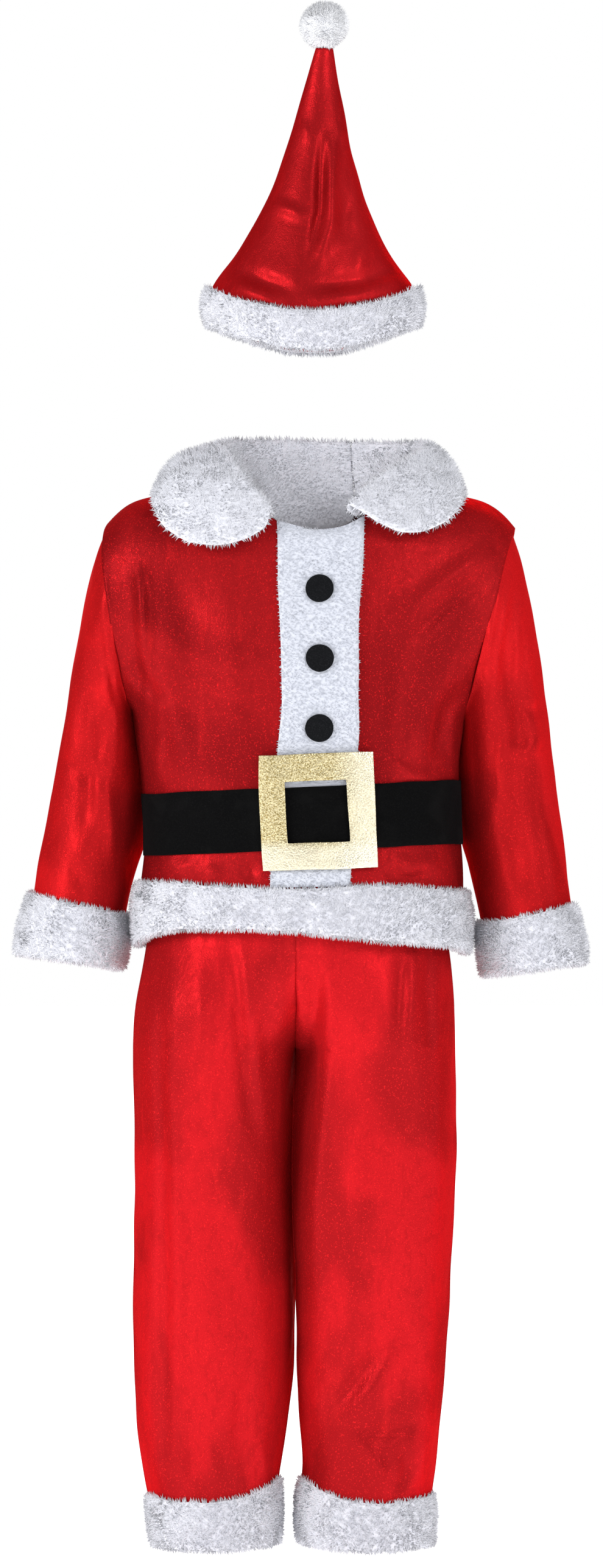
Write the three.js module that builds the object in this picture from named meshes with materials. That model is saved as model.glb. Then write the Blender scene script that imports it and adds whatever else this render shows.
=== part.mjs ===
// A child's santa suit: hat, jacket with its belt, and trousers, filled out as if worn.
// Millimetres, +Z up, the front faces -Y, +X is the right-hand side of a viewer who faces the suit.
// The origin lies between the shoulders, where the wearer's neck carries the jacket.
//
// Every garment is a net: a grid of points on the face of the cloth, worked out from the tables
// below. A panel is a stretch of its net given a wall, and all that is sewn on a panel is made
// from the same points, moved out.

import * as THREE from 'three';

// ---------------------------------------------------------------- driving sizes

const SEAM = 0.3; // clearance between two pieces sewn edge to edge
const REST = 0.2; // further clearance under what lies on the jacket's front
const CLOTH = 2; // wall of the velvet
const STRIP = 3; // wall of the flat plush strip down the front
const COLLAR = 4; // wall of the plush collar
const BELT = 2.2; // wall of the belt
const BUCKLE = { width: 105, height: 106, band: 25, wall: 2.2, x: 12, z: -281.5, turn: 0.035, lift: 3.2 };
const BUTTON = { radius: 13, wall: 2.2, x: 14.8, top: -77.8, pitch: 63.8, count: 3, sides: 16 };
const POMPOM = { x: 18, z: 441.6, radius: 20, around: 12, rings: 8 };

// How far the plush trims stand out from the cloth at their upper edge, middle and lower edge.
const HEM_PILE = [5, 9, 6];
const CUFF_PILE = [5, 8.5, 6];
const ANKLE_PILE = [4.5, 8, 5.5];
const BRIM_PILE = [5, 9, 6];

const ROUND = 2.3; // exponent of the body's rounded section: 2 is an ellipse, more is squarer
const LEG_ROUND = 2.15;

// ---------------------------------------------------------------- tables

const table = (names, rows) =>
  rows.map((row) => Object.fromEntries(names.map((name, k) => [name, row[k]])));

// Sections of the jacket below the armholes: the two sides, and the depth before and behind.
const TORSO = table(['z', 'left', 'right', 'front', 'back'], [
  [-410, -152, 149, 99, 97],
  [-350, -150, 147.5, 97, 96],
  [-318, -145, 145, 94, 93],
  [-258, -146, 143, 92, 91],
  [-225, -152, 144.5, 93, 93],
  [-190, -158, 148, 94, 95],
  [-120, -158, 148, 91, 95],
  [-44, -158, 148, 80, 84],
]);

// Levels of the jacket's net below the armholes, and how each tilts from left to right.
const LEVELS = table(['name', 'z', 'tilt'], [
  ['hemEnd', -398, 0],
  ['hemMid', -375, 0],
  ['hemTop', -351, 0],
  ['beltLow', -317, 0.038],
  ['beltMid', -288, 0.041],
  ['beltHigh', -259, 0.044],
  ['waist', -233, 0.02],
  ['ribs', -211, -0.01],
  ['armpit', -192, -0.026],
]);

// The fall of the hem's two edges from side to side, as a fraction of the half width.
const HEM_FRONT = table(['across', 'end', 'top'], [
  [-1, -404, -348],
  [-0.6, -389, -346],
  [-0.1, -389, -352],
  [0.3, -399, -348],
  [0.6, -402, -353],
  [1, -411, -356],
]);
const HEM_BACK = table(['across', 'end', 'top'], [
  [-1, -404, -348],
  [-0.5, -396, -351],
  [0, -401, -349],
  [0.5, -397, -352],
  [1, -411, -356],
]);

// The armholes: shoulder point, armpit, how far the seam bows out, and half its depth.
const ARMHOLE = {
  left: { side: -1, top: [-181, -17], pit: [-158, -188], bow: 12, depth: 56 },
  right: { side: 1, top: [194, -21], pit: [148, -196], bow: 0, depth: 56 },
};
const AT_HOLE = 0.001; // a place this near the armhole's edge lies on it
const HOLE_STEPS = [-67.5, -45, -22.5, 0]; // degrees round the lower half of an armhole
const ARCH_STEPS = [22.5, 45, 67.5, 90]; // degrees over the shoulder

// The shoulder line: its height and the radius of its arch, by the fraction of the way out.
const SHOULDER = table(['across', 'height', 'arch'], [
  [0, 18, 62],
  [0.33, 18, 62],
  [0.5, 15, 66],
  [0.77, 8, 74],
  [0.88, 4, 79],
  [0.95, -5, 83],
]);

const NECK = { x: 10, halfWidth: 64, corner: 4, front: 77, back: 56, square: 2.8 };
const CLOSURE = 38; // the back closes on this line, left over right
const STRIP_EDGES = table(['z', 'left', 'right'], [
  [-351, -33, 41],
  [-212, -23, 50],
  [-150, -21, 50],
  [-60, -23, 50],
  [-15, -25, 52],
]);

// The collar, row by row round the neck from the left front to the right front: the angle on
// the neckline from the front, the point on the roll, the free edge, and how the fall bellies.
const COLLAR_ROWS = table(
  ['turn', 'rollX', 'rollY', 'rollZ', 'edgeX', 'edgeY', 'edgeZ', 'belly'], [
    [30, -28, -78, -2, -34, -90, -21, 1],
    [40, -43, -71, 13, -60, -97, -36, 4],
    [55, -60, -52, 34, -94, -92, -40, 8],
    [72, -71, -26, 50, -125, -79, -28, 13],
    [84, -75, -8, 57, -140, -56, -4, 15],
    [98, -76, 14, 60, -143, -6, 16, 15],
    [122, -64, 46, 62, -122, 70, 6, 12],
    [150, -34, 68, 62, -64, 104, -30, 6],
    [180, 4, 76, 61, 2, 112, -40, 5],
    [217, 45, 76, 61, 52, 110, -36, 5],
    [240, 80, 62, 61, 96, 96, -20, 6],
    [258, 108, 36, 60, 134, 54, 6, 8],
    [272, 118, 8, 58, 154, -10, 15, 6],
    [286, 106, -18, 50, 141, -56, -8, 8],
    [304, 80, -46, 33, 114, -86, -27, 7],
    [321, 54, -65, 15, 84, -94, -27, 4],
    [331, 38, -74, 1, 61, -90, -12, 1],
  ]);
const COLLAR_SPLIT = 9; // the row on the back closure
const ROLL_RADIUS = { least: 5, most: 7, height: 15 }; // tighter where the roll lies low
const FOOT_LIFT = 1.4; // the collar's foot stands this far above the neckline
const FOOT_INSET = 2.6; // and its outer face this far inside it
const FOOT_DROP = 30; // behind the neck the foot hangs this far down inside the jacket
const FOOT_TUCK = 2; // and this much further in
const HUNG = 0.35; // the share of the drop past which the stand hangs straight to the neckline

// Sleeves: each row's upper (outer) and under (inner) point seen from the front.
const ARM_LEFT = table(['outX', 'outZ', 'inX', 'inZ'], [
  [-181, -17, -158, -188],
  [-194, -46, -156.4, -197],
  [-203, -82, -152.6, -208],
  [-212, -126, -150, -223],
  [-221, -174, -147, -242],
  [-230, -224, -144.5, -266],
  [-238, -272, -144, -300],
  [-246, -318, -157, -340],
  [-251, -357, -164.5, -377],
  [-257, -384, -169, -401],
  [-262, -411, -171, -424],
]);
const ARM_RIGHT = table(['outX', 'outZ', 'inX', 'inZ'], [
  [194, -21, 148, -196],
  [201, -44, 146.6, -205],
  [208, -74, 143.4, -217],
  [216, -114, 141.8, -232],
  [224, -162, 141.2, -252],
  [231, -214, 142, -276],
  [237, -268, 143.5, -307],
  [242, -318, 156, -344],
  [247, -368, 164, -384],
  [252, -396, 167.5, -408],
  [256, -420, 169, -430],
]);
// Half the sleeve's depth, its middle behind the shoulder line, the share of the bow left, and how
// much further back its underside lies, where it passes behind the body's side.
const ARM_DEPTH = table(['half', 'back', 'bow', 'under'], [
  [56, 0, 1, 0],
  [55, 1, 0.75, 18],
  [54, 3, 0.5, 30],
  [52, 6, 0.25, 34],
  [50, 9, 0, 36],
  [49, 11, 0, 36],
  [48, 12, 0, 34],
  [47.5, 12, 0, 22],
  [47, 11, 0, 14],
  [46.5, 10, 0, 10],
  [46, 10, 0, 8],
]);
const CUFF_ROW = 8; // the plush cuff starts on this row
const ARMHOLE_GAP = 0.8; // between a sleeve's head and the jacket's armhole

// Trousers: the outer and inner edges of the legs seen from the front, and their depths.
const LEGS = table(['z', 'leftOut', 'leftIn', 'rightIn', 'rightOut', 'front', 'back'], [
  [-300, -122, -8.5, -8.2, 106, 80, 82],
  [-345, -134, -8.5, -8.2, 118, 85, 88],
  [-392, -142.5, -8.5, -8.2, 130, 88, 91],
  [-424, -148, -8.5, -8.2, 136, 90, 94],
  [-460, -155, -8.8, -8, 137.5, 91, 95],
  [-515, -158.5, -8.2, -8.6, 138.5, 87, 91],
  [-540, -158, -6.8, -9.2, 138.5, 85, 89],
  [-600, -157, -6.4, -9.6, 138.5, 80, 84],
  [-730, -156.5, -6.4, -9.6, 134, 73, 76],
  [-775, -157, -7.4, -8.4, 131, 70.5, 73.5],
  [-825, -157, -12, -5.4, 127, 67, 70],
  [-868, -153.5, -18.5, -1, 123, 64, 66],
  [-905, -146.5, -21.5, -1, 119, 61, 62],
  [-934, -141, -24.5, -4.5, 117, 59, 60],
  [-958, -138, -25, -4, 116, 57, 58],
]);
const LEG_LEVELS = [-315, -345, -375, -402]; // above the crotch
const CROTCH = { top: -402, drop: 98, steps: [18, 36, 54, 72, 90] };
// The inner legs lie past each other: how far each inseam leans, the left one back, the right one on.
const INSEAM_LEAN = table(['z', 'lean'], [
  [-500, 3],
  [-550, 15],
  [-610, 17],
  [-730, 17],
  [-785, 13],
  [-832, 3],
  [-878, 0],
]);
const LEG_LOWER = [-550, -610, -670, -730, -785, -832, -878];
const ANKLE = table(['z', 'inner', 'outer'], [
  [-916, 24, 8],
  [-938, 16, 7],
  [-959, 8, 6],
]);

// The long troughs and ridges of the legs: a line down the front or back, its width and depth.
const LEG_FOLDS = table(['x0', 'z0', 'x1', 'z1', 'face', 'width', 'depth'], [
  [-132, -480, -128, -860, -1, 13, -5],
  [-72, -430, -46, -640, -1, 16, -4],
  [112, -460, 116, -700, -1, 14, -4],
  [74, -740, 30, -830, -1, 17, -5],
  [-112, -470, -104, -720, 1, 15, -4],
  [86, -460, 92, -760, 1, 16, -4],
]);

// Sections of the hat, tip to brim: the sides, half the depth, and the rise at the sides.
const HAT = table(['z', 'left', 'right', 'depth', 'rise'], [
  [421, 9, 24, 7, 0],
  [400, 3, 26.5, 10, 0],
  [364, -7.5, 34.5, 16, 0],
  [328, -17, 41, 22, 1],
  [290, -28, 52, 31, 4],
  [262, -39, 60, 40, 8],
  [235, -50, 70.5, 49, 14],
  [206, -64, 81, 57, 20],
  [177, -86, 103, 63, 23],
  [159, -88, 104, 65, 25],
  [142, -85, 102, 65, 27],
]);
const BRIM_ROW = 8;
const HAT_HALF = 10; // net steps on each half of the hat

const COLOURS = {
  velvet: { color: 0xb71c22, roughness: 0.6, metalness: 0 },
  plush: { color: 0xe4e5ee, roughness: 0.95, metalness: 0 },
  belt: { color: 0x101010, roughness: 0.9, metalness: 0 },
  felt: { color: 0x141414, roughness: 0.95, metalness: 0 },
  gold: { color: 0xd8b860, roughness: 0.35, metalness: 0.8 },
};

// ---------------------------------------------------------------- small helpers

const radians = THREE.MathUtils.degToRad;
const mix = THREE.MathUtils.lerp;
const range = (count) => Array.from({ length: count }, (_, k) => k);
const point = (x, y, z) => new THREE.Vector3(x, y, z);
const power = (value, exponent) => Math.max(value, 0) ** exponent;

// Reads a column of a table at a value of its key column, on a smooth curve through the rows.
function read(rows, key, at, column) {
  const last = rows.length - 1;
  const rising = rows[last][key] > rows[0][key];
  const before = (k) => (rising ? rows[k][key] <= at : rows[k][key] >= at);
  if (!before(0)) return rows[0][column];
  if (before(last)) return rows[last][column];
  const k = range(last).findLast(before);
  const slope = (m) => {
    const [low, high] = [Math.max(m - 1, 0), Math.min(m + 1, last)];
    return (rows[high][column] - rows[low][column]) / (rows[high][key] - rows[low][key]);
  };
  const span = rows[k + 1][key] - rows[k][key];
  const t = (at - rows[k][key]) / span;
  const ease = t * t * (3 - 2 * t);
  return mix(rows[k][column], rows[k + 1][column], ease)
    + span * (t * (1 - t) ** 2 * slope(k) - t * t * (1 - t) * slope(k + 1));
}

// Splits the stretch between each pair of marks into its number of steps.
function spread(marks, steps) {
  const places = steps.flatMap((count, k) =>
    range(count).map((m) => mix(marks[k], marks[k + 1], m / count)));
  return [...places, marks.at(-1)];
}

// ---------------------------------------------------------------- nets and walls

// A grid of points with outward normals. A looped net joins its last column to its first.
function makeNet(rowCount, columnCount, place, { loop = false, flatten = () => null } = {}) {
  const points = range(rowCount).map((i) => range(columnCount).map((j) => place(i, j)));
  const column = (j) => (loop
    ? (j + columnCount) % columnCount
    : THREE.MathUtils.clamp(j, 0, columnCount - 1));
  const row = (i) => THREE.MathUtils.clamp(i, 0, rowCount - 1);
  const along = (i, j) => {
    const across = points[i][column(j + 1)].clone().sub(points[i][column(j - 1)]);
    const down = points[row(i + 1)][j].clone().sub(points[row(i - 1)][j]);
    return across.cross(down).normalize();
  };
  const normals = points.map((line, i) => line.map((_, j) => along(i, j)));
  let facing = 0;
  points.forEach((line, i) => {
    const middle = line.reduce((sum, p) => sum.add(p), point(0, 0, 0)).divideScalar(columnCount);
    line.forEach((p, j) => { facing += p.clone().sub(middle).dot(normals[i][j]); });
  });
  const outward = facing > 0;
  normals.forEach((line, i) => line.forEach((normal, j) => {
    if (!outward) normal.negate();
    const axis = flatten(i, j);
    if (axis) normal[axis] = 0;
    normal.normalize();
  }));
  return { points, normals, outward, loop, rowCount, columnCount };
}

// The closed solid between two distances from a stretch of a net, clear of its free edges.
function wall(net, top, base, { rows, columns, ends = true } = {}) {
  const [firstRow, lastRow] = rows ?? [0, net.rowCount - 1];
  const [firstColumn, lastColumn] = columns ?? [0, net.columnCount - 1];
  const rowTotal = lastRow - firstRow + 1;
  const columnTotal = lastColumn - firstColumn + 1;
  const distance = (rule, i, j) => (typeof rule === 'function' ? rule(i, j) : rule);
  const trimmed = (i, j) => {
    const place = net.points[i][j].clone();
    const pull = (ii, jj) => {
      const step = net.points[ii][jj].clone().sub(net.points[i][j]);
      place.addScaledVector(step.normalize(), SEAM / 2);
    };
    if (ends && i === firstRow) pull(i + 1, j);
    if (ends && i === lastRow) pull(i - 1, j);
    if (!net.loop && j === firstColumn) pull(i, j + 1);
    if (!net.loop && j === lastColumn) pull(i, j - 1);
    return place;
  };
  const positions = [];
  [top, base].forEach((rule) => range(rowTotal).forEach((a) => range(columnTotal).forEach((b) => {
    const [i, j] = [firstRow + a, firstColumn + b];
    positions.push(...trimmed(i, j).addScaledVector(net.normals[i][j], distance(rule, i, j)));
  })));
  const skin = rowTotal * columnTotal;
  const at = (face, a, b) => face * skin + a * columnTotal + (b % columnTotal);
  const triangles = [];
  const quad = (a, b, c, d) => triangles.push(...(net.outward ? [a, b, c, a, c, d] : [a, c, b, a, d, c]));
  const steps = net.loop ? columnTotal : columnTotal - 1;
  range(rowTotal - 1).forEach((a) => range(steps).forEach((b) => {
    quad(at(0, a, b), at(0, a, b + 1), at(0, a + 1, b + 1), at(0, a + 1, b));
    quad(at(1, a, b), at(1, a + 1, b), at(1, a + 1, b + 1), at(1, a, b + 1));
  }));
  range(steps).forEach((b) => {
    const end = rowTotal - 1;
    quad(at(0, 0, b), at(1, 0, b), at(1, 0, b + 1), at(0, 0, b + 1));
    quad(at(0, end, b), at(0, end, b + 1), at(1, end, b + 1), at(1, end, b));
  });
  if (!net.loop) {
    range(rowTotal - 1).forEach((a) => {
      const end = columnTotal - 1;
      quad(at(0, a, 0), at(0, a + 1, 0), at(1, a + 1, 0), at(1, a, 0));
      quad(at(0, a, end), at(1, a, end), at(1, a + 1, end), at(0, a + 1, end));
    });
  }
  const geometry = new THREE.BufferGeometry();
  geometry.setAttribute('position', new THREE.Float32BufferAttribute(positions, 3));
  geometry.setIndex(triangles);
  geometry.computeVertexNormals();
  return geometry;
}

const suit = new THREE.Group();

function addPiece(name, geometry, finish) {
  const piece = new THREE.Mesh(geometry, new THREE.MeshStandardMaterial(COLOURS[finish]));
  piece.name = name;
  suit.add(piece);
  return piece;
}

// A plush trim round a net, its pile given for the rows that it covers.
function addTrim(name, net, firstRow, pile) {
  const lastRow = firstRow + pile.length - 1;
  const geometry = wall(net, (i) => pile[i - firstRow], SEAM, { rows: [firstRow, lastRow], ends: false });
  return addPiece(name, geometry, 'plush');
}

// ---------------------------------------------------------------- jacket body

const holeHeight = ({ top, pit }) => (top[1] - pit[1]) / 2;

// A point on an armhole seam, by its angle: -90 at the armpit, 90 at the shoulder point.
function armholeX(hole, degrees) {
  const lift = Math.sin(radians(degrees));
  return mix(hole.pit[0], hole.top[0], (1 + lift) / 2)
    + hole.side * hole.bow * Math.cos(radians(degrees));
}

// The jacket's rows: levels round the body, then the lower armhole, then over the shoulder.
const JACKET_ROWS = [
  ...LEVELS,
  ...HOLE_STEPS.map((degrees) => ({ name: 'hole', degrees })),
  ...ARCH_STEPS.map((degrees) => ({ name: 'arch', degrees })),
];
const rowOf = (name) => JACKET_ROWS.findIndex((row) => row.name === name);
const LAST_ROW = JACKET_ROWS.length - 1;

// The half section of a row on one side: its reach at the middle plane and its end angle.
function halfSection(hole, degrees, depth, reach) {
  const half = hole.depth * Math.cos(radians(degrees));
  const end = Math.acos(power(half / depth, ROUND / 2));
  return { end, reach: reach / power(Math.sin(end), 2 / ROUND) };
}

// A column's place on a row, from -1 at the left edge to 1 at the right edge.
function columnPlace(x, sections) {
  const { end, reach } = sections[x < 0 ? 'left' : 'right'];
  return (Math.sign(x) * Math.asin(Math.min(power(Math.abs(x) / reach, ROUND / 2), 1))) / end;
}

function bodyX(place, sections) {
  const { end, reach } = sections[place < 0 ? 'left' : 'right'];
  return Math.sign(place) * reach * power(Math.sin(Math.abs(place) * end), 2 / ROUND);
}

// A point of the jacket on one face (-1 front, 1 back), at a row and between the guide lines.
function bodyPoint(face, row, guides, steps, column) {
  const depthName = face < 0 ? 'front' : 'back';
  const level = row.name === 'hole' || row.name === 'arch' ? null : row;
  const degrees = row.name === 'hole' ? row.degrees : row.name === 'arch' ? 0 : -90;
  const sections = {};
  Object.entries(ARMHOLE).forEach(([side, hole]) => {
    const centre = (hole.top[1] + hole.pit[1]) / 2;
    const z = level ? level.z : centre + holeHeight(hole) * Math.sin(radians(degrees));
    const reach = level ? Math.abs(read(TORSO, 'z', z, side)) : Math.abs(armholeX(hole, degrees));
    sections[side] = halfSection(hole, degrees, read(TORSO, 'z', z, depthName), reach);
  });
  const guideZ = level ? level.z : mix(LEVELS.at(-1).z, -15, (90 + degrees) / 90);
  const marks = [-1, ...guides(guideZ).map((x) => columnPlace(x, sections)), 1];
  const place = spread(marks, steps)[column];
  const x = bodyX(place, sections);
  const across = Math.abs(place);
  const hole = ARMHOLE[place < 0 ? 'left' : 'right'];
  const { end } = sections[place < 0 ? 'left' : 'right'];
  const round = power(Math.cos(across * end), 2 / ROUND);
  if (level) return levelPoint(face, level, x, across * Math.sign(place), round);
  const centre = (hole.top[1] + hole.pit[1]) / 2;
  const out = Math.min(Math.abs(x / armholeX(hole, 0)), 1);
  const tip = SHOULDER.at(-1);
  const past = (out - tip.across) / (1 - tip.across);
  const arch = past > 0
    ? mix(tip.arch, holeHeight(hole), past)
    : read(SHOULDER, 'across', out, 'arch');
  const height = past > 0
    ? mix(tip.height, hole.top[1], past)
    : read(SHOULDER, 'across', out, 'height');
  const spring = out > 1 - AT_HOLE ? centre : height - arch;
  const pit = LEVELS.at(-1).z + LEVELS.at(-1).tilt * x;
  const z = mix(pit, spring, 1 + Math.sin(radians(degrees)));
  const depth = read(TORSO, 'z', z, depthName) * round;
  if (row.name === 'hole') return point(x, face * depth, z);
  return archPoint(face, row.degrees, x, depth, { spring, arch, out, hole });
}

function levelPoint(face, level, x, across, round) {
  const hem = face < 0 ? HEM_FRONT : HEM_BACK;
  let z = level.z + level.tilt * x;
  if (level.name === 'hemEnd') z = read(hem, 'across', across, 'end');
  if (level.name === 'hemTop') z = read(hem, 'across', across, 'top');
  if (level.name === 'hemMid') {
    z = (read(hem, 'across', across, 'end') + read(hem, 'across', across, 'top')) / 2;
  }
  const depth = read(TORSO, 'z', level.z, face < 0 ? 'front' : 'back');
  return point(x, face * depth * round, z);
}

// Over the shoulder each column is a quarter arch, cut short by the neckline near the middle.
function archPoint(face, degrees, x, depth, { spring, arch, out, hole }) {
  const fromNeck = Math.abs(x - NECK.x) / NECK.halfWidth;
  const neckDepth = (face < 0 ? NECK.front : NECK.back)
    * power(1 - power(fromNeck, NECK.square), 1 / NECK.square);
  const end = Math.acos(Math.min(neckDepth / depth, 1));
  const turn = end * (degrees / 90);
  const slant = armholeX(hole, (turn * 180) / Math.PI) - armholeX(hole, 0);
  return point(x + out ** 2 * slant, face * depth * Math.cos(turn), spring + arch * Math.sin(turn));
}

const neckSides = [NECK.x - NECK.halfWidth, NECK.x + NECK.halfWidth];
const leftOfNeck = [neckSides[0], neckSides[0] + NECK.corner];
const rightOfNeck = [neckSides[1] - NECK.corner, neckSides[1]];
const frontGuides = (z) => [
  ...leftOfNeck,
  read(STRIP_EDGES, 'z', z, 'left'),
  read(STRIP_EDGES, 'z', z, 'right'),
  ...rightOfNeck,
];
const backGuides = () => [...leftOfNeck, CLOSURE, ...rightOfNeck];
const FRONT_STEPS = [5, 1, 2, 3, 1, 1, 5];
const BACK_STEPS = [5, 1, 4, 2, 1, 5];
const total = (steps) => steps.reduce((sum, count) => sum + count, 0);
const FRONT_COLUMNS = total(FRONT_STEPS) + 1;
const BACK_COLUMNS = total(BACK_STEPS) + 1;

// At a side seam or shoulder seam both panels share a normal that lies in the seam.
function bodyFlatten(columnCount) {
  return (i, j) => {
    const side = (j === 0 || j === columnCount - 1) && i <= rowOf('armpit');
    const shoulder = i === LAST_ROW;
    return side || shoulder ? 'y' : null;
  };
}

const frontNet = makeNet(JACKET_ROWS.length, FRONT_COLUMNS,
  (i, j) => bodyPoint(-1, JACKET_ROWS[i], frontGuides, FRONT_STEPS, j),
  { flatten: bodyFlatten(FRONT_COLUMNS) });
const backNet = makeNet(JACKET_ROWS.length, BACK_COLUMNS,
  (i, j) => bodyPoint(1, JACKET_ROWS[i], backGuides, BACK_STEPS, j),
  { flatten: bodyFlatten(BACK_COLUMNS) });

const closureColumn = total(BACK_STEPS.slice(0, 3));
addPiece('jacket_front', wall(frontNet, 0, -CLOTH), 'velvet');
addPiece('jacket_back_left', wall(backNet, 0, -CLOTH, { columns: [0, closureColumn] }), 'velvet');
addPiece('jacket_back_right',
  wall(backNet, 0, -CLOTH, { columns: [closureColumn, BACK_COLUMNS - 1] }), 'velvet');

// The plush strip lies on the front between its two guide lines, from the neck to the hem trim.
const stripColumns = [total(FRONT_STEPS.slice(0, 3)), total(FRONT_STEPS.slice(0, 4))];
addPiece('front_strip', wall(frontNet, SEAM + STRIP, SEAM,
  { rows: [rowOf('hemTop'), LAST_ROW], columns: stripColumns }), 'plush');

// The rings round the whole body, front columns and then back columns without the shared ends.
function bodyRing(rows) {
  const backInner = BACK_COLUMNS - 2;
  const count = FRONT_COLUMNS + backInner;
  const pick = (net, k) => (k < FRONT_COLUMNS
    ? net.front[k]
    : net.back[BACK_COLUMNS - 2 - (k - FRONT_COLUMNS)]);
  const at = (kind, i, k) => pick({ front: frontNet[kind][i], back: backNet[kind][i] }, k);
  const ring = makeNet(rows.length, count, (i, k) => at('points', rows[i], k).clone(), { loop: true });
  ring.normals = rows.map((i) => range(count).map((k) => at('normals', i, k)));
  return ring;
}

const hemRing = bodyRing([rowOf('hemTop'), rowOf('hemMid'), rowOf('hemEnd')]);
addTrim('hem_trim', hemRing, 0, HEM_PILE);

const beltRing = bodyRing([rowOf('beltHigh'), rowOf('beltMid'), rowOf('beltLow')]);
const overStrip = (k) => k >= stripColumns[0] - 1 && k <= stripColumns[1] + 1;
const beltBase = (_, k) => (overStrip(k) ? 2 * SEAM + STRIP + REST : 2 * SEAM + REST);
addPiece('belt', wall(beltRing, (i, k) => beltBase(i, k) + BELT, beltBase, { ends: false }), 'belt');

// ---------------------------------------------------------------- buttons and buckle

const SHOULDER_REACH = 1.25; // above the armpits the front is flatter, as if it reached this far out

// The depth of the jacket's smooth front at a place, and the direction that it faces.
function frontAt(x, z) {
  const depth = (px, pz) => {
    const reach = Math.abs(read(TORSO, 'z', pz, px < 0 ? 'left' : 'right'));
    const half = pz > LEVELS.at(-1).z ? reach * SHOULDER_REACH : reach;
    return -read(TORSO, 'z', pz, 'front') * power(1 - power(Math.abs(px) / half, ROUND), 1 / ROUND);
  };
  const normal = point(depth(x + 1, z) - depth(x - 1, z), -2, depth(x, z + 1) - depth(x, z - 1));
  return { place: point(x, depth(x, z), z), normal: normal.normalize() };
}

range(BUTTON.count).forEach((k) => {
  const { place, normal } = frontAt(BUTTON.x, BUTTON.top - k * BUTTON.pitch);
  const disc = new THREE.CylinderGeometry(BUTTON.radius, BUTTON.radius, BUTTON.wall, BUTTON.sides);
  const button = addPiece(`button_${k + 1}`, disc, 'felt');
  button.quaternion.setFromUnitVectors(point(0, 1, 0), normal);
  button.position.copy(place).addScaledVector(normal, 2 * SEAM + STRIP + 2 * REST + BUTTON.wall / 2);
});

// The buckle is a square frame of sheet, bent to the belt's front.
function buckleGeometry() {
  const perSide = 4;
  const lift = 2 * SEAM + STRIP + BELT + BUCKLE.lift;
  const corner = [[-1, -1], [1, -1], [1, 1], [-1, 1]];
  const frame = makeNet(3, 4 * perSide, (i, j) => {
    const side = Math.floor(j / perSide);
    const t = (j % perSide) / perSide;
    const [ax, az] = corner[side];
    const [bx, bz] = corner[(side + 1) % 4];
    const shrink = (size) => size / 2 - (BUCKLE.band * i) / 2;
    const u = mix(ax, bx, t) * shrink(BUCKLE.width);
    const v = mix(az, bz, t) * shrink(BUCKLE.height);
    const x = BUCKLE.x + u * Math.cos(BUCKLE.turn) - v * Math.sin(BUCKLE.turn);
    const z = BUCKLE.z + u * Math.sin(BUCKLE.turn) + v * Math.cos(BUCKLE.turn);
    const surface = frontAt(x, BUCKLE.z);
    return point(x, surface.place.y - lift, z);
  }, { loop: true });
  frame.normals.forEach((line) => line.forEach((normal) => normal.set(0, -1, 0)));
  const facing = frame.points[0][1].clone().sub(frame.points[0][0])
    .cross(frame.points[1][0].clone().sub(frame.points[0][0]));
  frame.outward = facing.y < 0;
  return wall(frame, BUCKLE.wall, 0, { ends: false });
}
addPiece('buckle', buckleGeometry(), 'gold');

// ---------------------------------------------------------------- collar

// A place on the neckline, by the angle round it from the front.
function neckPoint(turn) {
  const [s, c] = [Math.sin(radians(turn)), Math.cos(radians(turn))];
  const x = NECK.x - NECK.halfWidth * Math.sign(s) * power(Math.abs(s), 2 / NECK.square);
  const reach = c > 0 ? NECK.front : NECK.back;
  const y = -reach * Math.sign(c) * power(Math.abs(c), 2 / NECK.square);
  const faceDepth = TORSO.at(-1)[c > 0 ? 'front' : 'back'];
  const arch = SHOULDER[0].arch;
  const z = SHOULDER[0].height - arch + arch * Math.sqrt(1 - Math.min((y / faceDepth) ** 2, 1));
  return point(x, y, z);
}

// Steps up the stand, over the roll and down the fall to the free edge.
const STAND_STEPS = [0, 0.3, 0.6];
const ROLL_STEPS = [200, 145, 90, 35];
const FALL_STEPS = [0.35, 0.7, 1];
const PROFILE = STAND_STEPS.length + ROLL_STEPS.length + FALL_STEPS.length;

function collarPoint(row, k) {
  const foot = neckPoint(row.turn);
  const inward = point(NECK.x - foot.x, -foot.y, 0).normalize();
  foot.addScaledVector(inward, COLLAR + FOOT_INSET).add(point(0, 0, FOOT_LIFT));
  const behind = power(-Math.cos(radians(row.turn)), 1);
  const roll = point(row.rollX, row.rollY, row.rollZ);
  const edge = point(row.edgeX, row.edgeY, row.edgeZ);
  const outward = point(edge.x - foot.x, edge.y - foot.y, 0).normalize();
  const full = THREE.MathUtils.clamp(row.rollZ / ROLL_RADIUS.height, 0, 1);
  const radius = mix(ROLL_RADIUS.least, ROLL_RADIUS.most, full);
  const centre = roll.clone().add(point(0, 0, -radius));
  const onRoll = (degrees) => centre.clone()
    .addScaledVector(outward, radius * Math.cos(radians(degrees)))
    .add(point(0, 0, radius * Math.sin(radians(degrees))));
  if (k === 0) return foot.addScaledVector(inward, FOOT_TUCK * behind).add(point(0, 0, -FOOT_DROP * behind));
  const straight = k === 1 ? Math.max(1 - behind / HUNG, 0) : 1;
  if (k < STAND_STEPS.length) return foot.lerp(onRoll(ROLL_STEPS[0]), STAND_STEPS[k] * straight);
  const m = k - STAND_STEPS.length;
  if (m < ROLL_STEPS.length) return onRoll(ROLL_STEPS[m]);
  const t = FALL_STEPS[m - ROLL_STEPS.length];
  const belly = row.belly * Math.sin(Math.PI * t);
  return onRoll(ROLL_STEPS.at(-1)).lerp(edge, t)
    .addScaledVector(outward, belly * 0.7).add(point(0, 0, belly * 0.7));
}

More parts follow.
